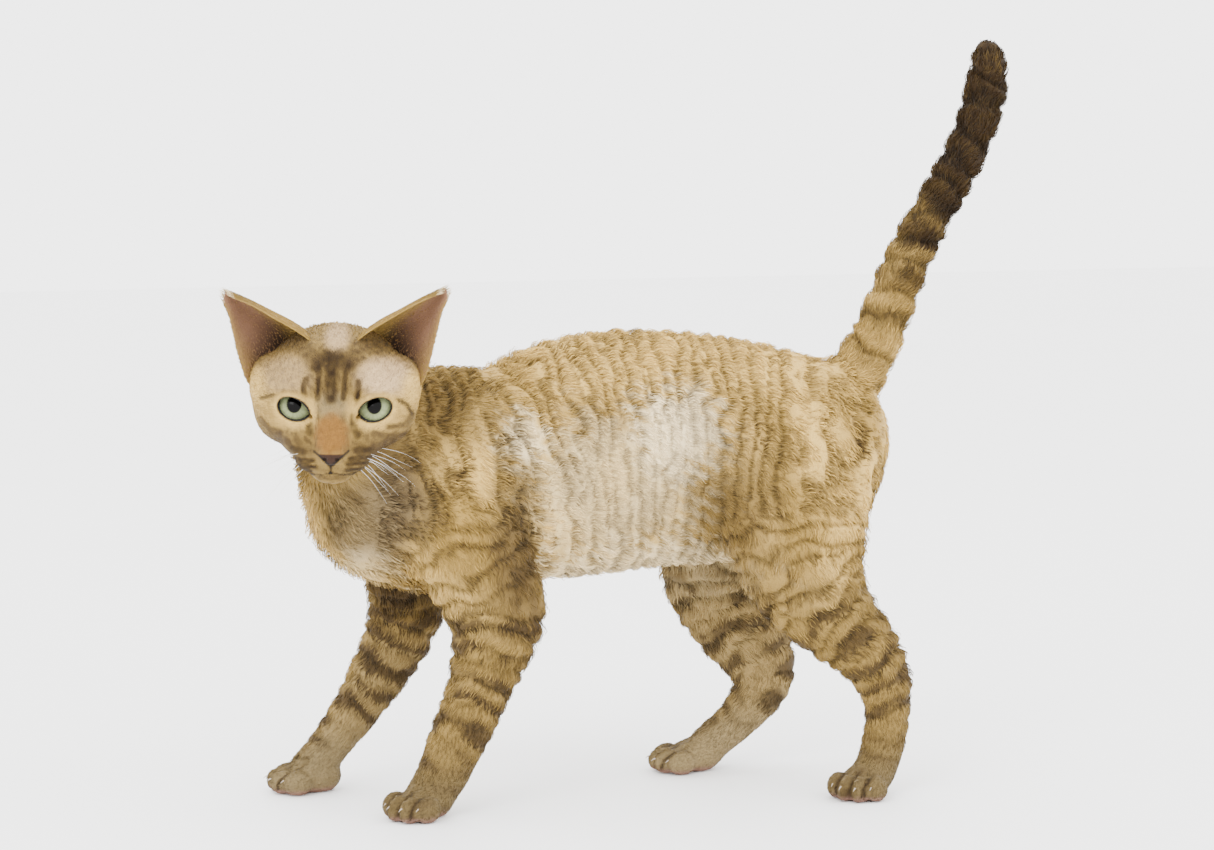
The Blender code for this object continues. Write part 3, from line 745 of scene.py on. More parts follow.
# Strokes on the face, in the plane across its gaze: colour, half width, strength and points (sideways, up).
STROKES = (
    (DARK, 2.3, 0.9, ((-0.6, 5), (-0.6, 15), (-0.4, 26))),
    (DARK, 1.0, 0.95, ((-7.6, 5), (-7.2, 12), (-6.8, 20), (-8, 24))),
    (DARK, 1.0, 0.95, ((5.6, 5), (6.4, 12), (6.8, 19), (9, 24))),
    (DARK, 1.2, 0.95, ((-15, 5.8), (-15.2, 11), (-13.9, 15))),
    (DARK, 1.2, 0.95, ((12.9, 5), (13.6, 10), (13.4, 14))),
    (DARK, 1.9, 0.7, ((-9.5, 21), (-5, 26), (-3, 29))),
    (DARK, 1.9, 0.7, ((9.5, 22), (5, 26), (3, 28.5))),
    (BROWN, 3.4, 0.7, ((-11, 27), (-17, 33), (-27, 35))),
    (BROWN, 3.4, 0.7, ((11, 27), (14, 33), (24, 33))),
    (DARK, 0.7, 0.85, ((-27, 6.4), (-32, 6.3), (-38, 5))),
    (DARK, 0.8, 0.85, ((27, 5.3), (33, 5), (38, 3), (41, -2))),
    (DARK, 1.4, 0.75, ((-13, -4), (-12.2, -8), (-11.6, -13))),
    (DARK, 1.4, 0.75, ((11, -4), (10.6, -8), (13.4, -14))),
    (BROWN, 1.1, 0.75, ((-38, -6), (-33, -11.5), (-27, -13))),
    (BROWN, 1.3, 0.75, ((-29, -14.5), (-23, -18))),
    (BROWN, 1.1, 0.75, ((41, -3), (38, -8), (29, -9.5))),
    (BROWN, 1.2, 0.7, ((38, -13), (30, -14.5), (22, -12.5))),
    (BROWN, 1.6, 0.7, ((32, -17.5), (25, -19), (22, -20))),
    (DARK, 1.3, 0.7, ((-21, -21), (-14.5, -23))),
    (DARK, 1.5, 0.75, ((13, -21.5), (19.5, -21.5))),
    (DARK, 1.0, 0.95, ((-20.5, -26), (-15, -27.4), (-9.5, -27.4))),
    (DARK, 1.0, 0.95, ((-20.5, -29), (-14, -30.4), (-8.5, -30.4))),
    (DARK, 0.9, 0.9, ((-17, -31.6), (-11, -32.8))),
    (DARK, 1.0, 0.95, ((9.5, -26.2), (15, -25.6), (21.5, -25))),
    (DARK, 1.0, 0.95, ((8.5, -29), (14, -28.4), (20.5, -28))),
    (DARK, 0.9, 0.9, ((8, -32), (13, -31.4), (18.5, -31))),
    (BLACK, 0.4, 0.95, ((-0.4, -30), (-0.4, -33.6))),
    (BLACK, 0.4, 0.95, ((-0.4, -33.6), (-5, -34.8), (-11, -34.4), (-16, -32.8))),
    (BLACK, 0.4, 0.95, ((-0.4, -33.6), (5, -34.6), (11, -34), (16, -32.2))),
    # The two brown strokes just above the upper lids are painted shadow of the brow.
    (BROWN, 0.9, 0.75, ((-31, 3.5), (-26, 8.2), (-19, 7.6), (-13, 2))),
    (BROWN, 0.9, 0.75, ((32, 2.5), (27, 7.4), (19, 6.8), (12.6, 1.5))),
    (BROWN, 0.9, 0.6, ((-6, -36), (0, -36.6), (6, -36))),
)
# Patches on the face, in the same plane: colour, middle, semi-axes, softness and strength.
FACE_PATCHES = (
    (CREAM, (0, -31), (20, 8), 0.4, 0.25),
    (CREAM, (-32, -1), (13, 10), 0.5, 0.4),
    (CREAM, (32, -1), (13, 10), 0.5, 0.5),
    (CREAM, (-22, -7.5), (11, 4), 0.5, 0.8),
    (CREAM, (24, -8), (12, 4), 0.5, 0.8),
    (ROSE, (-25, 17), (14, 10), 0.45, 0.35),
    (ROSE, (27, 17), (14, 9.5), 0.45, 0.95),
    (CREAM, (44, 12), (8, 9), 0.5, 0.8),
    (CREAM, (-43, 12), (7, 9), 0.5, 0.7),
    (ROSE, (1.5, 37), (6, 8), 0.5, 0.7),
    (BROWN, (0, 16), (13, 12), 0.5, 0.45),
    (DARK, (0, 25), (11, 5.5), 0.6, 0.5),
    (BROWN, (-33, -14), (14, 12), 0.6, 0.35),
    (BROWN, (33, -14), (14, 12), 0.6, 0.35),
    (BROWN, (-16, -25), (12, 8), 0.5, 0.55),
    (BROWN, (16, -25), (12, 8), 0.5, 0.55),
    (BROWN, (0, -34), (16, 4), 0.5, 0.45),
    (CREAM, (-11, -2), (3, 7), 0.5, 0.6),
    (CREAM, (10, -2), (3, 7), 0.5, 0.6),
    (GREY, (0, 1), (8, 7), 0.5, 0.6),
    (ORANGE, (0, -14), (8.6, 11), 0.3, 0.95),
)

# The dark edges of the nose leather, in the same plane.
NOSE_EDGES = (
    ((-9, -22.5), (-5.2, -25.6), (-2.2, -28.6), (-0.5, -30.4)),
    ((9, -21.8), (6, -25), (2.2, -28.4), (-0.5, -30.4)),
)


def trails(points):
    """For each row of stations: the distance from its tube, the length along, the direction and the angle.

    The head comes last. Its coat lies back from the nose.
    """
    found = []
    for _, stations, way, _ in LIES:
        rows = smooth_rows(stations, 2)
        best = np.full(len(points), 1e6)
        along = np.zeros(len(points))
        angle = np.zeros(len(points))
        direction = np.zeros((len(points), 3))
        start = 0
        for one, two in zip(rows, rows[1:]):
            distance, length, axis, turn = strip(points, one, two, np.array((1, 0, 0)))
            near = distance < best
            best[near] = distance[near]
            along[near] = start + length[near]
            angle[near] = turn[near]
            direction[near] = axis * way
            start += np.linalg.norm(two[:3] - one[:3])
        found.append((best, along, direction, angle))
    place = head_place()
    local = into(place, points)
    direction = unit(local - NOSE_TIP) @ np.array(place.to_3x3()).T
    distance = oval(local - HEAD_MIDDLE, HEAD_SIZE)
    found.append((distance, local[:, 1], direction, np.arctan2(local[:, 0], local[:, 2])))
    return found


class Places:
    """What the coat knows about points on the skin: regions, the lie, the ripples and the colours."""

    def __init__(self, points, outward):
        self.points = points
        self.outward = outward
        self.local = into(head_place(), points)
        self.seen = np.stack([self.local[:, 0], 0.95 * self.local[:, 2] + 0.31 * self.local[:, 1]], 1)
        found = trails(points)
        distance = np.stack([part[0] for part in found], 1)
        # High on the shoulder and the haunch the trunk's lie rules over that of the legs.
        for k, level in zip(LEGS, LEG_TOPS):
            distance[:, k] += 0.35 * np.clip(points[:, 2] - level, 0, None)
        weight = np.exp(-(distance - distance.min(1, keepdims=True)) / 5)
        self.weight = weight / weight.sum(1, keepdims=True)
        self.major = self.weight**6 / (self.weight**6).sum(1, keepdims=True)
        self.along = np.stack([part[1] for part in found], 1)
        self.angle = np.stack([part[3] for part in found], 1)
        self.region = distance.argmin(1)
        way = sum(self.weight[:, k, None] * part[2] for k, part in enumerate(found))
        way[:, 2] -= 0.3 * self.weight[:, TRUNK_ROW]
        swirl = np.cross(outward, way)
        way = way + swirl * (0.3 * wobble(points, 26, 3))[:, None]
        self.lie = unit(way - outward * np.sum(way * outward, 1, keepdims=True))
        self.pace = np.stack([np.sum(self.lie * part[2], 1) for part in found], 1)
        self.depth = coat_depth(*points.T)

    def ripple(self, ahead=0, turn=0):
        """The coat's waves from -1 in a furrow to 1 on a crest, some way along each tuft and a turn on."""
        spot = self.points + self.lie * np.reshape(ahead, (-1, 1))
        bend = sum(amount * wobble(spot, size, seed) for amount, size, seed in WAVE_BENDS)
        total = np.zeros(len(spot))
        for k, (_, _, way, spacing) in enumerate(LIES):
            phase = 2 * math.pi * (self.along[:, k] + way * ahead * self.pace[:, k]) / spacing
            total += self.major[:, k] * np.sin(phase + way * (bend + turn))
        return 1 - (1 - total) ** 2 / 2

    def waviness(self):
        """How much of the full wave the coat has at each point."""
        return ease(self.depth, 0.7, 2.1)

    def ragged(self, rng):
        """How many times their usual height the tufts reach: more at the chest, the elbow and the thigh."""
        z = self.points[:, 2]
        rear = ease(self.outward[:, 1], 0, 0.6)
        elbow = rear * self.weight[:, 3:5].sum(1) * ease(z, 80, 100)
        thigh = rear * self.weight[:, 5:7].sum(1) * ease(z, 60, 80)
        chest = ease(-self.outward[:, 1], 0, 0.6) * self.weight[:, :2].sum(1)
        most = np.clip(elbow + 0.8 * thigh + 0.8 * chest, 0, 1)
        loose = rng.uniform(0, 1, len(z)) < 0.1 + 0.35 * most
        return 1 + loose * (0.5 + 0.9 * most)

    def tones(self):
        """The colour of skin and coat at each point."""
        points = self.points
        z = points[:, 2]
        side = points[:, 0] - spine_x(points[:, 1])
        signed = np.stack([side, points[:, 1], z], 1)
        flat = np.abs(signed) * (1, 0, 0) + signed * (0, 1, 1)
        weight = self.weight
        body = weight[:, 0] + weight[:, 1]
        crest = self.ripple()
        broken = 0.6 + 0.4 * wobble(points, 30, 21)
        tone = blend_in(TAN, CREAM, ease(wobble(points, 40, 22), -0.6, 0.9))
        # Legs and paws darken towards the floor, to SAND and then PAW: partly their own colour, partly
        # painted shade under the body.
        tone = blend_in(tone, SAND, (1 - body) * (1 - ease(z, 70, 170)))
        tone = blend_in(tone, PAW, (1 - body) * (1 - ease(z, 14, 34)))
        for colour, middle, size, soft, strength in PATCHES:
            place = signed if middle[0] < 0 else flat
            reach = np.linalg.norm((place - middle) / size, axis=1) + 0.12 * wobble(points, 12, 23)
            reach += 0.3 * np.clip(wobble(points, 6.5, 26), -1, 1) * (colour is PALE)
            share = strength * (1 - ease(reach, 1 - soft, 1 + soft))
            share *= body + (1 - body) * (0.9 if colour is BROWN else 0.35) * (z > 95)
            tone = blend_in(tone, colour, share)
        # The furrows between the waves are brown where the coat is tan, and fainter on the pale flank: partly
        # the coat's own darker colour, partly painted shade in the furrows.
        pale = 1 - ease(((points[:, 1] - 4) / 62) ** 2 + ((z - 170) / 48) ** 2, 0.5, 1.5)
        furrow = ease(0.35 * wobble(points, 5, 24) - crest, -0.5, 0.7) * broken
        strength = furrow * (body * (0.8 - 0.5 * pale) + 0.6 * (1 - body) * (1 - weight[:, HEAD_ROW]))
        tone = blend_in(tone, BROWN, strength)
        tone = self.legs(tone)
        tone = self.tail(tone)
        tone = self.head(tone)
        return tone * (1 + 0.07 * wobble(points, 3.2, 25))[:, None]

    def legs(self, tone):
        """Bars across the legs, their inner and rear sides, and painted shade in the clefts between the toes.
        """
        points = self.points
        z = points[:, 2]
        low = ease(z, 24, 50) * (1 - ease(z, 90, 112))
        barred = ease(z, 20, 34) * (1 - ease(z, 104, 128))
        rear = ease(self.outward[:, 1], 0.2, 0.9) * ease(z, 30, 60) * (1 - ease(z, 100, 124))
        for k in LEGS:
            fore = LIES[k][0] == "fore"
            weight = self.weight[:, k]
            inner = weight * ease(-np.sign(points[:, 0]) * self.outward[:, 0], 0, 0.8)
            deep = mix(GREY, BROWN, ease(z, 76, 104)[:, None]) if fore else GREY * 1.4
            tone = blend_in(tone, deep, 0.65 * inner)
            tone = blend_in(tone, TAN, 0.35 * weight * low)
            phase = self.along[:, k] / (15 if fore else 17) + 0.28 * wobble(points, 22, 31)
            bar = ease(np.sin(2 * math.pi * phase), -0.35, 0.4) * ease(wobble(points, 26, 32 + k), -0.9, 0)
            tone = blend_in(tone, BROWN * 0.75, weight * bar * barred * (0.9 if fore else 0.85))
            tone = blend_in(tone, BROWN, 0.6 * weight * rear)
        for _, wrist, turn in PAWS:
            x, y, _ = into(paw_place(wrist, turn), points).T
            # Painted shade in the clefts between the toes.
            toes = ease(-y, 12, 20) * (1 - ease(-y, 36, 44)) * (1 - ease(np.abs(x), 17, 20)) * (z < 24)
            near = np.abs(x[:, None] - np.array(CLEFTS)).min(1)
            tone = blend_in(tone, DARK, 0.9 * toes * (1 - ease(near, 0.5, 2)))
        return blend_in(tone, PINK, 1 - ease(z, 1.5, 4.5))

    def tail(self, tone):
        """Rings on the tail, which close up to its dark tip."""
        along = self.along[:, TAIL_ROW]
        weight = self.weight[:, TAIL_ROW]
        ring = ease(np.sin(2 * math.pi * along / 25 + 0.8 * wobble(self.points, 20, 41)), -0.2, 0.7)
        tip = ease(along, 50, 125)
        ring = ring * (0.65 + 0.35 * wobble(self.points, 9, 42))
        front = ease(-self.outward[:, 1], 0, 0.8) * (1 - ease(along, 140, 175))
        dark = np.clip(ring + ease(along, 90, 160) * 0.85 + ease(along, 150, 185) * 0.5, 0, 1)
        dark = dark * (1 - 0.16 * ease(wobble(self.points, 4, 43), -0.1, 0.9)) * (1 - 0.35 * front)
        brown = 0.16 + 0.45 * ease(along, 70, 140) + 0.35 * ring
        tone = blend_in(tone, BROWN, weight * brown)
        return blend_in(tone, DARK, weight * dark * tip)

    def head(self, tone):
        """The bars, lines and patches of the face."""
        local = self.local
        seen = self.seen
        grain = wobble(self.points, 4.5, 51)
        own = TAN * 0.35 + SAND * 0.65
        cheek = ease(np.abs(seen[:, 0]), 12, 20) * (1 - ease(seen[:, 1], -6, 2))
        speck = ease(0.6 * grain + 1.1 * wobble(self.points, 2.6, 52), -0.1, 1.2)
        own = blend_in(own, BROWN, 0.7 * speck)
        own = blend_in(own, BROWN, 0.65 * cheek * ease(wobble(self.points, 7, 53), -0.2, 0.6))
        for colour, middle, size, soft, strength in FACE_PATCHES:
            reach = np.linalg.norm((seen - middle) / size, axis=1) + 0.08 * grain
            own = blend_in(own, colour, strength * (1 - ease(reach, 1 - soft, 1 + soft)))
        for colour, width, strength, line in STROKES:
            reach = line_distance(seen, line) + 0.35 * grain
            strength = min(1.15 * strength, 1) * (0.85 + 0.15 * grain)
            own = blend_in(own, colour, strength * (1 - ease(reach, width * 0.6, width * 2.1)))
        near = 1 - ease(np.abs(local[:, 1] + 9), 6, 9)
        for s in (-1, 1):
            rim = lids_distance(local, s)
            own = blend_in(own, CREAM, 0.6 * (1 - ease(rim, 2, 4.5)) * near)
            own = blend_in(own, BLACK, 1 - ease(rim, 0.4, 1))
        under = ease(-seen[:, 1], 23.4, 24.4) * ease(nose_width(seen[:, 1]) - np.abs(seen[:, 0]), -0.5, 0.5)
        own = blend_in(own, LEATHER, (1 - ease(leather_distance(local), 0.8, 2)) * under)
        rim = np.minimum(*[line_distance(seen, line) for line in NOSE_EDGES])
        own = blend_in(own, BLACK, 0.85 * (1 - ease(rim, 0.3, 0.9)))
        return blend_in(tone, own, self.weight[:, HEAD_ROW] * (1 - ease(local[:, 1], 22, 34)))


def lids_place(side):
    """The middle and the slant of the opening between the lids of one eye, in the head's frame."""
    return turned(eye_centre(side) + Vector(LIDS_AT), (0, -side * LIDS_SLANT, 0))


def lids_distance(local, side):
    """The distance from points of the head's frame to the opening between the lids of one eye."""
    return oval(into(lids_place(side), local), LIDS_SIZE)


def leather_distance(local):
    """The distance from points of the head's frame to the nose leather."""
    centre, size, turns, _ = NOSE
    return oval(into(turned(centre, turns), local), size)


def nose_width(level):
    """Half the width of the nose leather at a level of the face's plane: it narrows down to a point."""
    return 1 + 0.97 * (level + 30.5)


def line_distance(points, line):
    """The distance from points to a line of straight stretches, in a plane."""
    best = np.full(len(points), 1e6)
    for a, b in zip(np.array(line, float), np.array(line[1:], float)):
        share = np.clip(((points - a) @ (b - a)) / ((b - a) @ (b - a)), 0, 1)
        best = np.minimum(best, np.linalg.norm(points - a - share[:, None] * (b - a), axis=1))
    return best


def scattered(points, quads, density, rng):
    """Places spread over four-sided faces, so many to the square millimetre at each face."""
    a, b, c, d = [points[quads[:, k]] for k in range(4)]
    area = np.linalg.norm(np.cross(c - a, d - b), axis=1) / 2
    total = np.cumsum(area * density)
    marks = np.arange(int(total[-1])) + rng.uniform(0, 1, int(total[-1]))
    face = np.minimum(np.searchsorted(total, marks), len(quads) - 1)
    u, v = rng.uniform(0, 1, (2, len(face), 1))
    a, b, c, d = [corner[face] for corner in (a, b, c, d)]
    return mix(mix(a, b, u), mix(d, c, u), v)


def tufts(name, rooted, heights, tones, unwrap, rng, field=None, sway=None, shade=None):
    """One coat piece: a tapered, bent solid tuft at each root, with as many bends as there are heights.

    What is rooted gives each tuft's root, the way outward, the way that it lies, its length and its width.
    """
    roots, outward, lie, length, width = rooted
    count = len(roots)
    bends = len(heights)
    side = np.cross(outward, lie)
    lie = lie + side * rng.normal(0, 0.12, (count, 1))
    lie /= np.linalg.norm(lie, axis=1, keepdims=True)
    side = np.cross(outward, lie)
    rings, colours = [], []
    for k in range(bends):
        t = k / (bends - 1)
        middle = roots + lie * (length * t)[:, None]
        if sway is not None:
            middle = middle + sway[k]
        gap = heights[k] - (field.reading(middle) if field else 0)
        middle = middle + outward * gap[:, None]
        half = (width * GIRTHS[min(k, 2)] / 2)[:, None]
        ring = [middle + side * half, middle + outward * half * 0.7, middle - side * half]
        rings.append(np.stack(ring if k < bends - 1 else [middle], 1))
        # Without shade rows a tuft goes from darker at the root to lighter at the tip: partly the hair's own
        # colour, partly painted shade near the skin.
        tone = tones * (shade[k][:, None] if shade is not None else 0.9 + 0.14 * t)
        colours.append(np.repeat(tone[:, None], 3 if k < bends - 1 else 1, 1))
    last = 3 * (bends - 1)
    start = (np.arange(count) * (last + 1))[:, None, None]
    ring = [(a, (a + 1) % 3) for a in range(3)]
    walls = [(r + a, r + b, r + 3 + b, r + 3 + a) for r in range(0, last - 3, 3) for a, b in ring]
    quads = (start + np.array(walls)).reshape(-1, 4)
    ends = [(2, 1, 0)] + [(last - 3 + a, last - 3 + b, last) for a, b in ring]
    triangles = (start + np.array(ends)).reshape(-1, 3)
    points = np.concatenate(rings, 1)
    shades = np.concatenate(colours, 1) * rng.uniform(0.84, 1.16, (count, 1, 1))
    patch = [(x, y) for y in np.linspace(-1, 1, bends) for x in (-1, 0, 1)]
    patch = np.array(patch[: last + 1]) * HALF_PATCH
    places = (unwrap[:, None] + patch[None]).reshape(-1, 2)
    obj = mesh_object(name, points.reshape(-1, 3), [quads, triangles], shades.reshape(-1, 3), places)
    finish(obj, coat_material())


def finish(obj, material):
    """What every piece gets: smooth shading, its material and the body that it is on."""
    obj.data.shade_smooth()
    obj.data.materials.append(material)
    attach(obj, "root")


def locks(points, size):
    """Gathers points into locks about so wide: the lock of each point, and the way to its middle."""
    warped = points + np.stack([wobble(points, 3 * size, seed) for seed in (81, 82, 83)], 1) * size
    cell = np.floor(warped / size).astype(int)
    _, lock = np.unique(cell @ np.array((1, 4096, 16777216)), return_inverse=True)
    crowd = np.bincount(lock)
    middle = np.stack([np.bincount(lock, points[:, k]) / crowd for k in range(3)], 1)
    return lock, middle[lock] - points


def material_with(name, roughness):
    """A new Principled material: its nodes, its links and its shader."""
    material = bpy.data.materials.new(name)
    material.use_nodes = True
    shader = material.node_tree.nodes["Principled BSDF"]
    shader.inputs["Roughness"].default_value = roughness
    return material, material.node_tree.nodes, material.node_tree.links, shader


def tone_colour(nodes):
    """The colours that the mesh carries."""
    tone = nodes.new("ShaderNodeAttribute")
    tone.attribute_name = "tone"
    return tone.outputs["Color"]


def noise_level(nodes, links, scale):
    """Noise in space, over the object's own coordinates: its node and how strong it is."""
    place = nodes.new("ShaderNodeTexCoord")
    noise = nodes.new("ShaderNodeTexNoise")
    noise.inputs["Scale"].default_value = scale
    links.new(place.outputs["Object"], noise.inputs["Vector"])
    return noise, noise.outputs["Fac"]


def mottled(name, one, two, roughness, scale):
    """A material that goes between two colours with noise in space."""
    material, nodes, links, shader = material_with(name, roughness)
    shade = nodes.new("ShaderNodeMix")
    shade.data_type = "RGBA"
    shade.inputs["A"].default_value = (*one, 1)
    shade.inputs["B"].default_value = (*two, 1)
    links.new(noise_level(nodes, links, scale)[1], shade.inputs["Factor"])
    links.new(shade.outputs["Result"], shader.inputs["Base Color"])
    return material


def toned(material_name, roughness, grain, amount, bump):
    """A material whose colour is the mesh's tone, varied by fine noise, with a bump of the same noise."""
    material, nodes, links, shader = material_with(material_name, roughness)
    noise, fine = noise_level(nodes, links, grain)
    noise.inputs["Detail"].default_value = 3
    level = nodes.new("ShaderNodeMapRange")
    level.inputs["From Min"].default_value = 0.3
    level.inputs["From Max"].default_value = 0.7
    level.inputs["To Min"].default_value = 1 - amount
    level.inputs["To Max"].default_value = 1 + amount
    links.new(fine, level.inputs["Value"])
    vary = nodes.new("ShaderNodeVectorMath")
    vary.operation = "SCALE"
    links.new(tone_colour(nodes), vary.inputs[0])
    links.new(level.outputs["Result"], vary.inputs["Scale"])
    links.new(vary.outputs["Vector"], shader.inputs["Base Color"])
    relief = nodes.new("ShaderNodeBump")
    relief.inputs["Strength"].default_value = bump
    relief.inputs["Distance"].default_value = 0.0006
    links.new(fine, relief.inputs["Height"])
    links.new(relief.outputs["Normal"], shader.inputs["Normal"])
    return material, shader


def coat_material():
    """Matt short fur, shared by all tufts."""
    if "wavy coat" in bpy.data.materials:
        return bpy.data.materials["wavy coat"]
    material, shader = toned("wavy coat", 0.82, 900, 0.12, 0.15)
    shader.inputs["Specular IOR Level"].default_value = 0.06
    shader.inputs["Sheen Weight"].default_value = 0.03
    shader.inputs["Sheen Roughness"].default_value = 0.5
    return material


def skin_material():
    """The skin with the shortest fur on it as bump."""
    material, shader = toned("short fur over skin", 0.75, 1400, 0.14, 0.6)
    shader.inputs["Specular IOR Level"].default_value = 0.12
    shader.inputs["Sheen Weight"].default_value = 0.03
    return material


def ear_layers(side):
    """An ear's two layers of points, the back first and then the cup, and the way out of its back."""
    rows = smooth_rows(EAR, EAR_STEPS)
    across = np.linspace(0, 1, EAR_COLUMNS)[:, None]
    back = []
    for k, (front, ridge, outer) in enumerate(rows):
        bend = 2 * ridge - (front + outer) / 2
        lift = np.array((0, 0, side * EAR_LIFT / 2 * k / (len(rows) - 1)))
        back.append((1 - across) ** 2 * front + 2 * across * (1 - across) * bend + across**2 * outer + lift)
    grid = np.array(back)
    grid[..., 0] *= side
    normal = unit(np.cross(np.gradient(grid, axis=0), np.gradient(grid, axis=1)) * side)
    middle = EAR_COLUMNS // 2
    if np.sum(normal[:, middle] * (grid[:, middle] - (grid[:, 0] + grid[:, -1]) / 2)) < 0:
        normal = -normal
    edge = np.sin(np.linspace(0, math.pi, EAR_COLUMNS))[None, :, None] ** 0.5
    top = np.sqrt(1 - np.linspace(0, 1, len(rows)) ** 4)[:, None, None]
    wall = 0.25 + 0.75 * edge * top
    place = head_place()
    cup = out_of(place, grid - normal * wall * 0.6)
    return out_of(place, grid + normal * wall), cup, normal @ np.array(place.to_3x3()).T


def between(rows):
    """The four-sided faces between rows of point numbers."""
    return np.stack([rows[:-1, :-1], rows[:-1, 1:], rows[1:, 1:], rows[1:, :-1]], -1).reshape(-1, 4)


def closed(rows):
    """Rows of point numbers that each come back to their first point."""
    return np.concatenate([rows, rows[:, :1]], 1)


def ear_shell(side):
    """An ear as one closed shell: its points, its faces and its tones."""
    back, cup, _ = ear_layers(side)
    rows, columns = back.shape[:2]
    number = np.arange(rows * columns).reshape(rows, columns)
    other = number + rows * columns
    rim = np.concatenate([number[0, :-1], number[:-1, -1], number[-1, :0:-1], number[:0:-1, 0]])
    base = np.roll(rim, -1)
    edge = np.stack([base, rim, rim + rows * columns, base + rows * columns], 1)
    faces = [between(number), between(other)[:, ::-1], edge]
    points = np.concatenate([back.reshape(-1, 3), cup.reshape(-1, 3)])
    up = np.linspace(0, 1, rows)[:, None]
    across = np.linspace(0, 1, columns)[None, :]
    # The cup is painted darker towards its root: painted shade deep in the ear.
    inside = mix(EAR_PAINTED_SHADE, EAR_SKIN, ease(up + 0.3 * across, 0.42, 0.85)[..., None])
    front = 1 - ease(across + 0.15 * up, 0.35, 0.7)
    inside = mix(inside, mix(TAN, CREAM, 0.4), (0.85 * front)[..., None])
    inside = mix(inside, TAN, (0.8 * ease(across + 0 * up, 0.9, 1))[..., None])
    outside = mix(TAN, BROWN, (0.4 * ease(up + 0 * across, 0.5, 1))[..., None])
    tones = np.concatenate([outside.reshape(-1, 3), inside.reshape(-1, 3)])
    quads = np.concatenate(faces)
    return points, quads if side > 0 else quads[:, ::-1], tones


def cut_skin(obj, keep_head):
    """Removes the part of the skin on one side of the plane at the back of the head."""
    bpy.ops.object.select_all(action="DESELECT")
    obj.select_set(True)
    bpy.context.view_layer.objects.active = obj
    point = Vector(HEAD_CUT[0]) * MM + solid_shift()
    bpy.ops.object.mode_set(mode="EDIT")
    bpy.ops.mesh.select_all(action="SELECT")
    sides = {"clear_outer": keep_head, "clear_inner": not keep_head}
    bpy.ops.mesh.bisect(plane_co=point, plane_no=HEAD_CUT[1], **sides)
    bpy.ops.object.mode_set(mode="OBJECT")


class CatSkin(bpy.types.PropertyGroup):
    """Sizes of the skin under the coat."""

    body_cell: FloatProperty(
        name="Body cell", description="Cell size of the body's clay", default=0.0018, unit="LENGTH"
    )
    head_cell: FloatProperty(
        name="Head cell", description="Cell size of the head's clay", default=0.0008, unit="LENGTH"
    )
    body_faces: IntProperty(
        name="Body faces", description="Triangles that the body's skin keeps", default=88000
    )


class CatCoat(bpy.types.PropertyGroup):
    """Sizes of the coat."""

    cover: FloatProperty(name="Cover", description="How many tufts lie over each place", default=1.26)
    length: FloatProperty(
        name="Length", description="Length of the longest tufts", default=0.0064, unit="LENGTH"
    )
    swing: FloatProperty(
        name="Swing", description="How far the coat's waves swing it sideways", default=0.0007, unit="LENGTH"
    )
    wave: FloatProperty(
        name="Wave", description="Half height of the coat's waves", default=0.0012, unit="LENGTH"
    )
    lock: FloatProperty(
        name="Lock", description="Width of the locks that the tufts gather in", default=0.0026, unit="LENGTH"
    )
    seed: IntProperty(name="Seed", description="Seed of the coat's random numbers", default=5)


class CatEyes(bpy.types.PropertyGroup):
    """Sizes and colours of the eyes."""

    radius: FloatProperty(
        name="Radius", description="Radius of an eyeball", default=EYE_RADIUS * MM, unit="LENGTH"
    )
    iris: FloatVectorProperty(
        name="Iris", description="Colour of the iris", subtype="COLOR", size=3, default=(0.2, 0.225, 0.11)
    )
    pupil: FloatProperty(name="Pupil", description="Half width of the pupil", default=0.0039, unit="LENGTH")


class CatWhiskers(bpy.types.PropertyGroup):
    """Sizes of the whiskers and the claws."""

    length: FloatProperty(
        name="Length", description="Length of the longest whisker", default=0.036, unit="LENGTH"
    )
    thickness: FloatProperty(
        name="Thickness", description="Thickness of a whisker's root", default=0.00024, unit="LENGTH"
    )
    claw: FloatProperty(name="Claw", description="Length of a claw", default=0.0026, unit="LENGTH")


class CatStudio(bpy.types.PropertyGroup):
    """The floor, the lights and the camera."""

    floor: FloatProperty(name="Floor", description="Width of the floor", default=8, unit="LENGTH")
    sky: FloatProperty(name="Sky", description="Strength of the even light", default=4.2)
    key: FloatProperty(name="Key", description="Power of the main light in watts", default=45)
    lens: FloatProperty(name="Lens", description="Focal length of the camera in millimetres", default=104.35)


class CAT_OT_skin(bpy.types.Operator):
    """Makes the skin of the whole cat with its face and ears"""

    bl_idname = "cat.skin"
    bl_label = "Skin and ears"

    def execute(self, context):
        halves = []
        for name in ("body", "head"):
            clay, points, quads = Shape.of(name)
            places = Places(points, clay.outward(points))
            waves = context.scene.cat_coat.wave / MM * places.waviness() * places.ripple()
            half = mesh_object(name, points + places.outward * waves[:, None], [quads], places.tones())
            if name == "body":
                thin = half.modifiers.new("thin", "DECIMATE")
                thin.ratio = context.scene.cat_skin.body_faces / (2 * len(quads))
                bpy.context.view_layer.objects.active = half
                bpy.ops.object.modifier_apply(modifier="thin")
            cut_skin(half, name == "head")
            halves.append(half)
        for side in (1, -1):
            points, quads, tones = ear_shell(side)
            halves.append(mesh_object("ear", points, [quads], tones))
        bpy.ops.object.select_all(action="DESELECT")
        for half in halves:
            half.select_set(True)
        skin = halves[0]
        context.view_layer.objects.active = skin
        bpy.ops.object.join()
        skin.name = "skin"
        bm = bmesh.new()
        bm.from_mesh(skin.data)
        rim = [edge for edge in bm.edges if edge.is_boundary]
        bmesh.ops.bridge_loops(bm, edges=rim)
        bm.to_mesh(skin.data)
        bm.free()
        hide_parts(*FLESH_NODES)
        finish(skin, skin_material())
        return {"FINISHED"}


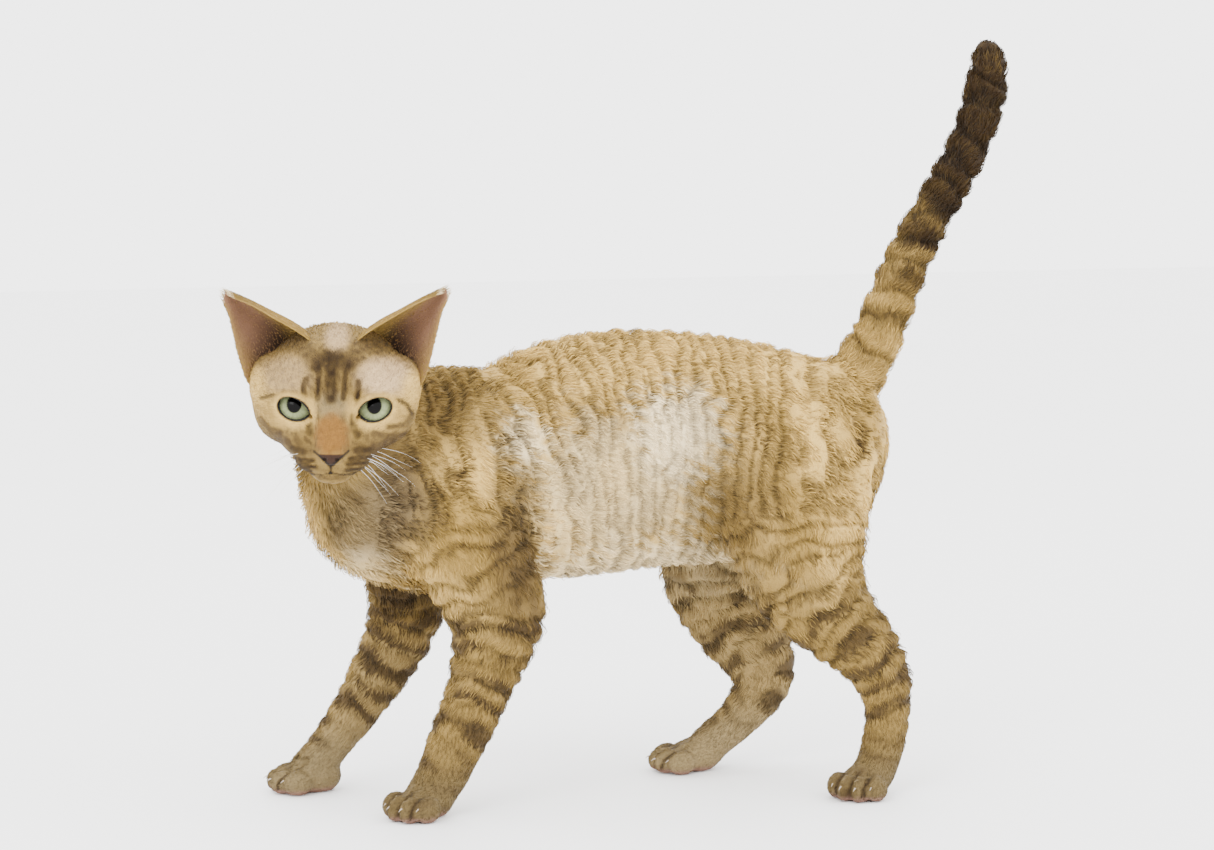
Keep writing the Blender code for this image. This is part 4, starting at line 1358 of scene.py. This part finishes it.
class CAT_OT_coat(bpy.types.Operator):
    """Lays the wavy coat over the skin in solid tufts"""

    bl_idname = "cat.coat"
    bl_label = "Wavy coat"

    def execute(self, context):
        settings = context.scene.cat_coat
        rng = np.random.default_rng(settings.seed)
        normal = np.array(HEAD_CUT[1])
        for name, sign in (("body", 1), ("head", -1)):
            clay, points, quads = Shape.of(name)
            centres = points[quads].mean(1)
            places = Places(centres, clay.outward(centres))
            length, width = tuft_size(places, settings.length / MM)
            density = settings.cover / (length * width) * (1 - 0.4 * places.weight[:, 3:7].sum(1))
            density *= 1 - 0.35 * places.weight[:, HEAD_ROW]
            own_side = (centres - HEAD_CUT[0]) @ normal * sign > -1
            density *= own_side & (centres[:, 2] > 1.2) & ~bare(places)
            density *= 1
            roots = scattered(points, quads, density, rng)
            places = Places(roots, clay.outward(roots))
            lay(name, clay, places, settings, rng)
        for side, word in ((1, "left"), (-1, "right")):
            ear_coat(side, word, rng)
        return {"FINISHED"}


def bare(places):
    """Where no fur grows: on the nose leather and in the eyes' openings."""
    x, level = places.seen.T
    found = (leather_distance(places.local) < 1.3) & (level < -23.8) & (np.abs(x) < nose_width(level) + 0.3)
    for s in (-1, 1):
        found |= lids_distance(places.local, s) < 1.5
    return found


def tuft_size(places, longest):
    """The length and width of the tufts at each place, in millimetres."""
    points = places.points
    length = np.interp(points[:, 2], [8, 30, 95, 140], [0.26, 0.5, 0.8, 1])
    length = mix(length, 0.8, places.weight[:, TAIL_ROW])
    pale = ((points[:, 1] - 12) / 46) ** 2 + ((points[:, 2] - 186) / 40) ** 2
    length = mix(length, 0.62, (1 - ease(pale, 0.5, 1.5)) * places.weight[:, TRUNK_ROW])
    head = np.interp(places.local[:, 1], [-25, -5, 20, 45], [0.2, 0.27, 0.5, 0.8])
    length = mix(length, head, places.weight[:, HEAD_ROW]) * longest
    return length, 0.22 + 0.065 * length


def lay(part, clay, places, settings, rng):
    """Lays tufts at places of one half of the skin, in pieces by region."""
    length, width = tuft_size(places, settings.length / MM)
    count = len(length)
    length = length * rng.uniform(0.8, 1.25, count)
    width = width * rng.uniform(0.8, 1.3, count)
    height = np.maximum(places.depth - 0.4, 0.25) * places.ragged(rng)
    wavy = places.waviness()
    wave = settings.wave / MM * wavy
    lock, pull = locks(places.points, settings.lock / MM)
    curl = rng.normal(0, 1, lock.max() + 1)[lock] * wavy
    stand = rng.uniform(0.4, 1, lock.max() + 1)[lock] * rng.uniform(0.8, 1.1, count)
    dye = rng.uniform(-1, 1, lock.max() + 1)[lock] * 0.13
    across = np.cross(places.outward, places.lie)
    bends = 3 if part == "head" else 4
    heights, sway, shade = [], [], []
    for t in np.linspace(0, 1, bends):
        crest = places.ripple(t * length)
        rise = height * stand * math.sin(math.pi * 0.7 * t) * 0.85 - 0.4 * (1 - t)
        heights.append(rise + wave * crest)
        swing = settings.swing / MM * wavy * (places.ripple(t * length, 1.6) - places.ripple(0, 1.6))
        swing += 0.22 * length * t * t * curl + 0.1 * length * t * wobble(places.points, 2.5, 71)
        sway.append(across * swing[:, None] + pull * (0.5 * t * wavy)[:, None])
        # Each bend's colour factor: the lock's own random dye, darker at the root and lighter at the tip
        # (partly the hair's own colour, partly painted shade near the skin), and lighter on a crest and
        # darker in a furrow, which is painted light and painted shade.
        shade.append((1 + dye) * (0.9 + 0.14 * t) * (1 + wavy * (0.32 * crest - 0.06)))
    tones = places.tones()
    for region, rows in coat_regions(part, places).items():
        if not len(rows):
            continue
        strips = math.ceil(len(rows) / MOST_TUFTS)
        order = rows[np.argsort(places.along[rows, places.region[rows[0]]], kind="stable")]
        for k, chosen in enumerate(np.array_split(order, strips)):
            column = places.region[chosen]
            turn = places.angle[chosen, column] / (2 * math.pi) + 0.5
            run = places.along[chosen, column]
            run = (run - run.min()) / max(np.ptp(run), 1e-6)
            unwrap = 0.01 + 0.98 * np.stack([turn, run], 1)
            name = f"coat_{region}" + (f"_{k + 1}" if strips > 1 else "")
            rooted = [v[chosen] for v in (places.points, places.outward, places.lie, length, width)]
            high, aside, shaded = [[row[chosen] for row in table] for table in (heights, sway, shade)]
            tufts(name, rooted, high, tones[chosen], unwrap, rng, clay, aside, shaded)


def coat_regions(part, places):
    """The rows of tufts in each region of the coat."""
    left = places.points[:, 0] > spine_x(places.points[:, 1])
    found = {}
    if part == "head":
        found["face"] = np.flatnonzero(places.local[:, 1] < 4)
        found["crown"] = np.flatnonzero(places.local[:, 1] >= 4)
        return found
    names = ("trunk", "neck", "tail", "foreleg", "foreleg", "hindleg", "hindleg", "nape")
    for k, name in enumerate(names):
        if name in ("neck", "tail", "nape"):
            found[name] = np.flatnonzero(places.region == k)
            continue
        for side, word in ((left, "left"), (~left, "right")):
            here = places.region == k
            if name == "trunk":
                found[f"{name}_{word}"] = np.flatnonzero(here & side)
            elif (word == "left") == (k in (3, 5)):
                found[f"{name}_{word}"] = np.flatnonzero(here)
    return found


def ear_coat(side, word, rng):
    """Short fur on the back of an ear and along the rims of its cup."""
    back, cup, normal = ear_layers(side)
    rows, columns = back.shape[:2]
    number = np.arange(rows * columns).reshape(rows, columns)
    quads = between(number)
    up, over = np.divmod(quads.min(1), columns)
    up = up / (rows - 2)
    across = (over + 0.5) / (columns - 1)
    furred = 1.2 * (1 - ease(across + 0.15 * up, 0.35, 0.7)) + 0.9 * ease(across, 0.85, 1)
    furred += 0.2 + 0.5 * (1 - ease(up, 0.2, 0.5))
    for layer, sign, density in ((back, 1, 1.1 + 0.6 * up), (cup, -1, furred)):
        flat = layer.reshape(-1, 3)
        roots = scattered(flat, quads, density * (1), rng)
        nearest = nearest_rows(roots, flat[quads].mean(1))
        outward = sign * normal[:-1, :-1].reshape(-1, 3)[nearest]
        rise = (layer[1:, :-1] - layer[:-1, :-1]).reshape(-1, 3)[nearest]
        lie = unit(rise - outward * np.sum(rise * outward, 1, keepdims=True))
        count = len(roots)
        length = rng.uniform(1.6, 2.8, count) * (1 if sign > 0 else 0.8)
        width = rng.uniform(0.28, 0.42, count)
        heights = [-0.3 + np.zeros(count), rng.uniform(0.1, 0.35, count), rng.uniform(0.1, 0.6, count)]
        share = up[nearest][:, None]
        front = 1 - ease(across[nearest], 0.35, 0.8)[:, None]
        if sign > 0:
            tone = mix(TAN, BROWN, 0.35 * ease(share, 0.5, 1))
        else:
            tone = mix(EAR_SKIN, mix(TAN, CREAM, 0.45), 0.2 + 0.8 * front)
        tip = ease(share, 0.95, 1)
        tone = mix(tone, PALE, tip)
        length = length * (1 + 0.9 * tip[:, 0])
        tone = tone * (1 + 0.1 * wobble(roots, 4, 61))[:, None]
        unwrap = 0.02 + 0.96 * np.stack([across[nearest], up[nearest]], 1)
        name = f"coat_ear_{word}" if sign > 0 else f"coat_ear_cup_{word}"
        tufts(name, (roots, outward, lie, length, width), heights, tone, unwrap, rng)


def nearest_rows(points, targets):
    """For each point, the row of the nearest target."""
    found = np.zeros(len(points), int)
    for start in range(0, len(points), 2000):
        gap = np.linalg.norm(points[start : start + 2000, None] - targets[None], axis=2)
        found[start : start + 2000] = gap.argmin(1)
    return found


class CAT_OT_eyes(bpy.types.Operator):
    """Makes both wet eyeballs with their iris and pupil"""

    bl_idname = "cat.eyes"
    bl_label = "Eyes"

    def execute(self, context):
        settings = context.scene.cat_eyes
        radius = settings.radius / MM
        polar = np.linspace(0, math.pi, EYE_RINGS + 2)[1:-1]
        turn = np.arange(EYE_AROUND) * 2 * math.pi / EYE_AROUND
        # The ball bulges at the front, where its clear cover is, and is a little smaller than its lids.
        bulge = radius + 0.9 * np.exp(-((polar / 0.62) ** 2)) - 0.35
        out = bulge * np.sin(polar)
        back = np.outer(-bulge * np.cos(polar), np.ones(EYE_AROUND))
        ball = np.stack([np.outer(out, np.cos(turn)), back, np.outer(out, np.sin(turn))], -1)
        ends = np.array(((0, -radius - 0.55, 0), (0, radius - 0.35, 0)))
        local = np.concatenate([ball.reshape(-1, 3), ends])
        number = closed(np.arange(EYE_RINGS * EYE_AROUND).reshape(EYE_RINGS, EYE_AROUND))
        pole = np.full(EYE_AROUND, EYE_RINGS * EYE_AROUND)
        first = np.stack([pole, number[0, :-1], number[0, 1:]], 1)
        last = np.stack([pole + 1, number[-1, 1:], number[-1, :-1]], 1)
        faces = [between(number)[:, [0, 3, 2, 1]], np.concatenate([first, last])]
        tones = eye_tones(local, settings)
        for s, word in ((1, "left"), (-1, "right")):
            points = out_of(head_place() @ turned(eye_centre(s), (0, 0, 0)), local)
            eye = mesh_object("eyeball_" + word, points, faces, tones)
            bm = bmesh.new()
            bm.from_mesh(eye.data)
            bmesh.ops.recalc_face_normals(bm, faces=bm.faces)
            bm.to_mesh(eye.data)
            bm.free()
            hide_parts("eye_" + word)
            finish(eye, eye_material())
        return {"FINISHED"}


def eye_tones(local, settings):
    """The colours of an eyeball: a black pupil, a pale iris with a darker rim that is wider at the top as
    painted shade of the brow, and a dark edge.
    """
    flat = local[:, [0, 2]] - np.array(PUPIL_AT)
    reach = np.linalg.norm(flat / (1, 1.04), axis=1)
    turn = np.arctan2(flat[:, 0], flat[:, 1])
    iris = np.array(settings.iris)
    streak = 1 + 0.12 * np.sin(turn * 23 + np.sin(turn * 7) * 2) * ease(reach, 3, 5)
    colour = blend_in(iris * 0.75, iris * 1.15, ease(reach, 3.6, 7)) * streak[:, None]
    # The darker rim is centred below the pupil, so it is wider at the top: painted shade of the brow over
    # part of the iris's own darker rim.
    colour = blend_in(colour, iris * 0.45, ease(np.linalg.norm(flat + (0, 2), axis=1), 8, 9.4))
    pupil = settings.pupil / MM
    colour = blend_in(BLACK * 0.15, colour, ease(reach, pupil - 0.25, pupil + 0.35))
    return blend_in(colour, BLACK, ease(reach, 11, 12))


def eye_material():
    """A wet eye under its clear layer."""
    if "wet eye" in bpy.data.materials:
        return bpy.data.materials["wet eye"]
    material, nodes, links, shader = material_with("wet eye", 0.25)
    links.new(tone_colour(nodes), shader.inputs["Base Color"])
    shader.inputs["Specular IOR Level"].default_value = 0.03
    shader.inputs["Coat Weight"].default_value = 0.1
    shader.inputs["Coat Roughness"].default_value = 0.02
    return material


def stalk(line, girth, sides):
    """A thin solid along a line, with a girth at each point: its points and its faces."""
    ahead = unit(np.gradient(line, axis=0))
    one = unit(np.cross(ahead, (0.1, 0.2, 1)))
    two = np.cross(ahead, one)
    angles = np.arange(sides) * 2 * math.pi / sides
    rings = [line + (one * math.cos(a) + two * math.sin(a)) * girth[:, None] for a in angles]
    points = np.concatenate([np.stack(rings, 1).reshape(-1, 3), line[[0, -1]]])
    number = closed(np.arange(len(line) * sides).reshape(-1, sides))
    ends = np.full(sides, len(line) * sides)
    root = np.stack([ends, number[0, 1:], number[0, :-1]], 1)
    tip = np.stack([ends + 1, number[-1, :-1], number[-1, 1:]], 1)
    return points, between(number), np.concatenate([root, tip])


def joined_stalks(name, stalks, material):
    """One piece of many stalks."""
    start = np.cumsum([0] + [len(points) for points, _, _ in stalks])
    points = np.concatenate([points for points, _, _ in stalks])
    quads = np.concatenate([quads + first for first, (_, quads, _) in zip(start, stalks)])
    caps = np.concatenate([caps + first for first, (_, _, caps) in zip(start, stalks)])
    finish(mesh_object(name, points, [quads, caps]), material)


class CAT_OT_whiskers(bpy.types.Operator):
    """Sets the short bent whiskers on the pads"""

    bl_idname = "cat.whiskers"
    bl_label = "Whiskers"

    def execute(self, context):
        settings = context.scene.cat_whiskers
        rng = np.random.default_rng(WHISKER_SEED)
        share = np.linspace(0, 1, 13)[:, None]
        girth = settings.thickness / MM / 2 * (1 - 0.85 * share[:, 0])
        stalks = []
        for s in (-1, 1):
            for row, (z, y, x, tilt) in enumerate(WHISKER_ROWS):
                for k in range(WHISKERS_IN_ROW):
                    root = np.array((s * (x + 2.1 * k), y + 2.2 * k, z + 0.3 * k))
                    reach = settings.length / MM * rng.uniform(0.5, 1) * (1 - 0.08 * row)
                    way = np.array((s * 0.85, 0.1 + 0.12 * k, tilt - rng.uniform(0, 0.35)))
                    way /= np.linalg.norm(way)
                    droop = np.array((0, 0.25, -1)) * rng.uniform(0.15, 0.4)
                    kink = np.sin(share * rng.uniform(4, 8) + rng.uniform(0, 6))
                    kink = kink * rng.uniform(0.3, 0.9) * share
                    line = root + way * reach * share + droop * reach * share**2
                    line = line + np.array((0, 0.4, 1)) * kink
                    stalks.append(stalk(out_of(head_place(), line), girth, 4))
        material = mottled("whisker", (0.8, 0.77, 0.72), (0.6, 0.54, 0.46), 0.35, 160)
        joined_stalks("whiskers", stalks, material)
        return {"FINISHED"}


class CAT_OT_claws(bpy.types.Operator):
    """Sets the tiny claws in the toes"""

    bl_idname = "cat.claws"
    bl_label = "Claws"

    def execute(self, context):
        length = context.scene.cat_whiskers.claw / MM
        ahead, level, radius = CLAW_ROOT
        share = np.linspace(0, 1, 6)
        stalks = []
        for _, wrist, turn in PAWS:
            for x, y, _ in TOES:
                height = level - 0.5 * length * share**2
                line = np.stack([x + 0 * share, y - ahead - length * share, height], 1)
                stalks.append(stalk(out_of(paw_place(wrist, turn), line), radius * (1 - 0.85 * share), 6))
        material = mottled("claw horn", (0.5, 0.42, 0.34), (0.3, 0.23, 0.18), 0.3, 160)
        joined_stalks("claws", stalks, material)
        return {"FINISHED"}


class CAT_OT_stage(bpy.types.Operator):
    """Lays the floor and sets the lights and the camera"""

    bl_idname = "cat.stage"
    bl_label = "Floor, lights and camera"

    def execute(self, context):
        settings = context.scene.cat_studio
        bpy.ops.object.select_all(action="DESELECT")
        bpy.ops.mesh.primitive_plane_add(size=settings.floor)
        floor = context.object
        floor.name = "floor"
        floor.data.materials.append(mottled("pale floor", (0.9, 0.9, 0.9), (0.93, 0.93, 0.925), 0.6, 3))
        world = bpy.data.worlds.new("studio")
        context.scene.world = world
        world.use_nodes = True
        sky = world.node_tree.nodes["Background"]
        sky.inputs["Color"].default_value = (1, 1, 1, 1)
        sky.inputs["Strength"].default_value = settings.sky
        for name, spot, share, size in LIGHTS:
            light = bpy.data.objects.new(name, bpy.data.lights.new(name, "AREA"))
            light.data.energy = settings.key * share
            light.data.size = size
            light.location = spot
            light.rotation_mode = "QUATERNION"
            light.rotation_quaternion = (Vector(LIT_POINT) - Vector(spot)).to_track_quat("-Z", "Y")
            context.scene.collection.objects.link(light)
        camera = bpy.data.objects.new("camera", bpy.data.cameras.new("camera"))
        context.scene.collection.objects.link(camera)
        context.scene.camera = camera
        camera.data.sensor_width = 36
        camera.data.lens = settings.lens
        angle = math.radians(CAMERA_ANGLE)
        pitch = math.radians(CAMERA_PITCH)
        back = Vector((math.sin(angle), -math.cos(angle), 0))
        camera.location = back * CAMERA_REACH + Vector(CAMERA_OFFSET) + solid_shift()
        camera.rotation_mode = "QUATERNION"
        ahead = -back * math.cos(pitch) - Vector((0, 0, math.sin(pitch)))
        camera.rotation_quaternion = ahead.to_track_quat("-Z", "Y")
        return {"FINISHED"}


class CAT_PT_panel(bpy.types.Panel):
    """The cat's pieces, in the 3D view's sidebar"""

    bl_label = "Devon rex cat"
    bl_space_type = "VIEW_3D"
    bl_region_type = "UI"
    bl_category = "Cat"

    def draw(self, context):
        """Shows each group's values in a box, and a button for each operator."""
        for group in GROUPS:
            settings = getattr(context.scene, group)
            box = self.layout.box()
            for name in settings.__annotations__:
                box.prop(settings, name)
        for operator in OPERATORS:
            self.layout.operator(operator.bl_idname)


GROUPS = {
    "cat_skin": CatSkin,
    "cat_coat": CatCoat,
    "cat_eyes": CatEyes,
    "cat_whiskers": CatWhiskers,
    "cat_studio": CatStudio,
}
OPERATORS = (CAT_OT_skin, CAT_OT_coat, CAT_OT_eyes, CAT_OT_whiskers, CAT_OT_claws, CAT_OT_stage)


def register():
    """Adds the groups, the operators and the panel."""
    for name, group in GROUPS.items():
        bpy.utils.register_class(group)
        setattr(bpy.types.Scene, name, PointerProperty(type=group))
    for operator in OPERATORS:
        bpy.utils.register_class(operator)
    bpy.utils.register_class(CAT_PT_panel)


def unregister():
    """Takes them away again."""
    bpy.utils.unregister_class(CAT_PT_panel)
    for operator in reversed(OPERATORS):
        bpy.utils.unregister_class(operator)
    for name, group in reversed(GROUPS.items()):
        delattr(bpy.types.Scene, name)
        bpy.utils.unregister_class(group)


def main():
    """Makes all pieces and the stage."""
    register()
    bpy.ops.cat.skin()
    bpy.ops.cat.coat()
    bpy.ops.cat.eyes()
    bpy.ops.cat.whiskers()
    bpy.ops.cat.claws()
    bpy.ops.cat.stage()


if __name__ == "__main__":
    main()
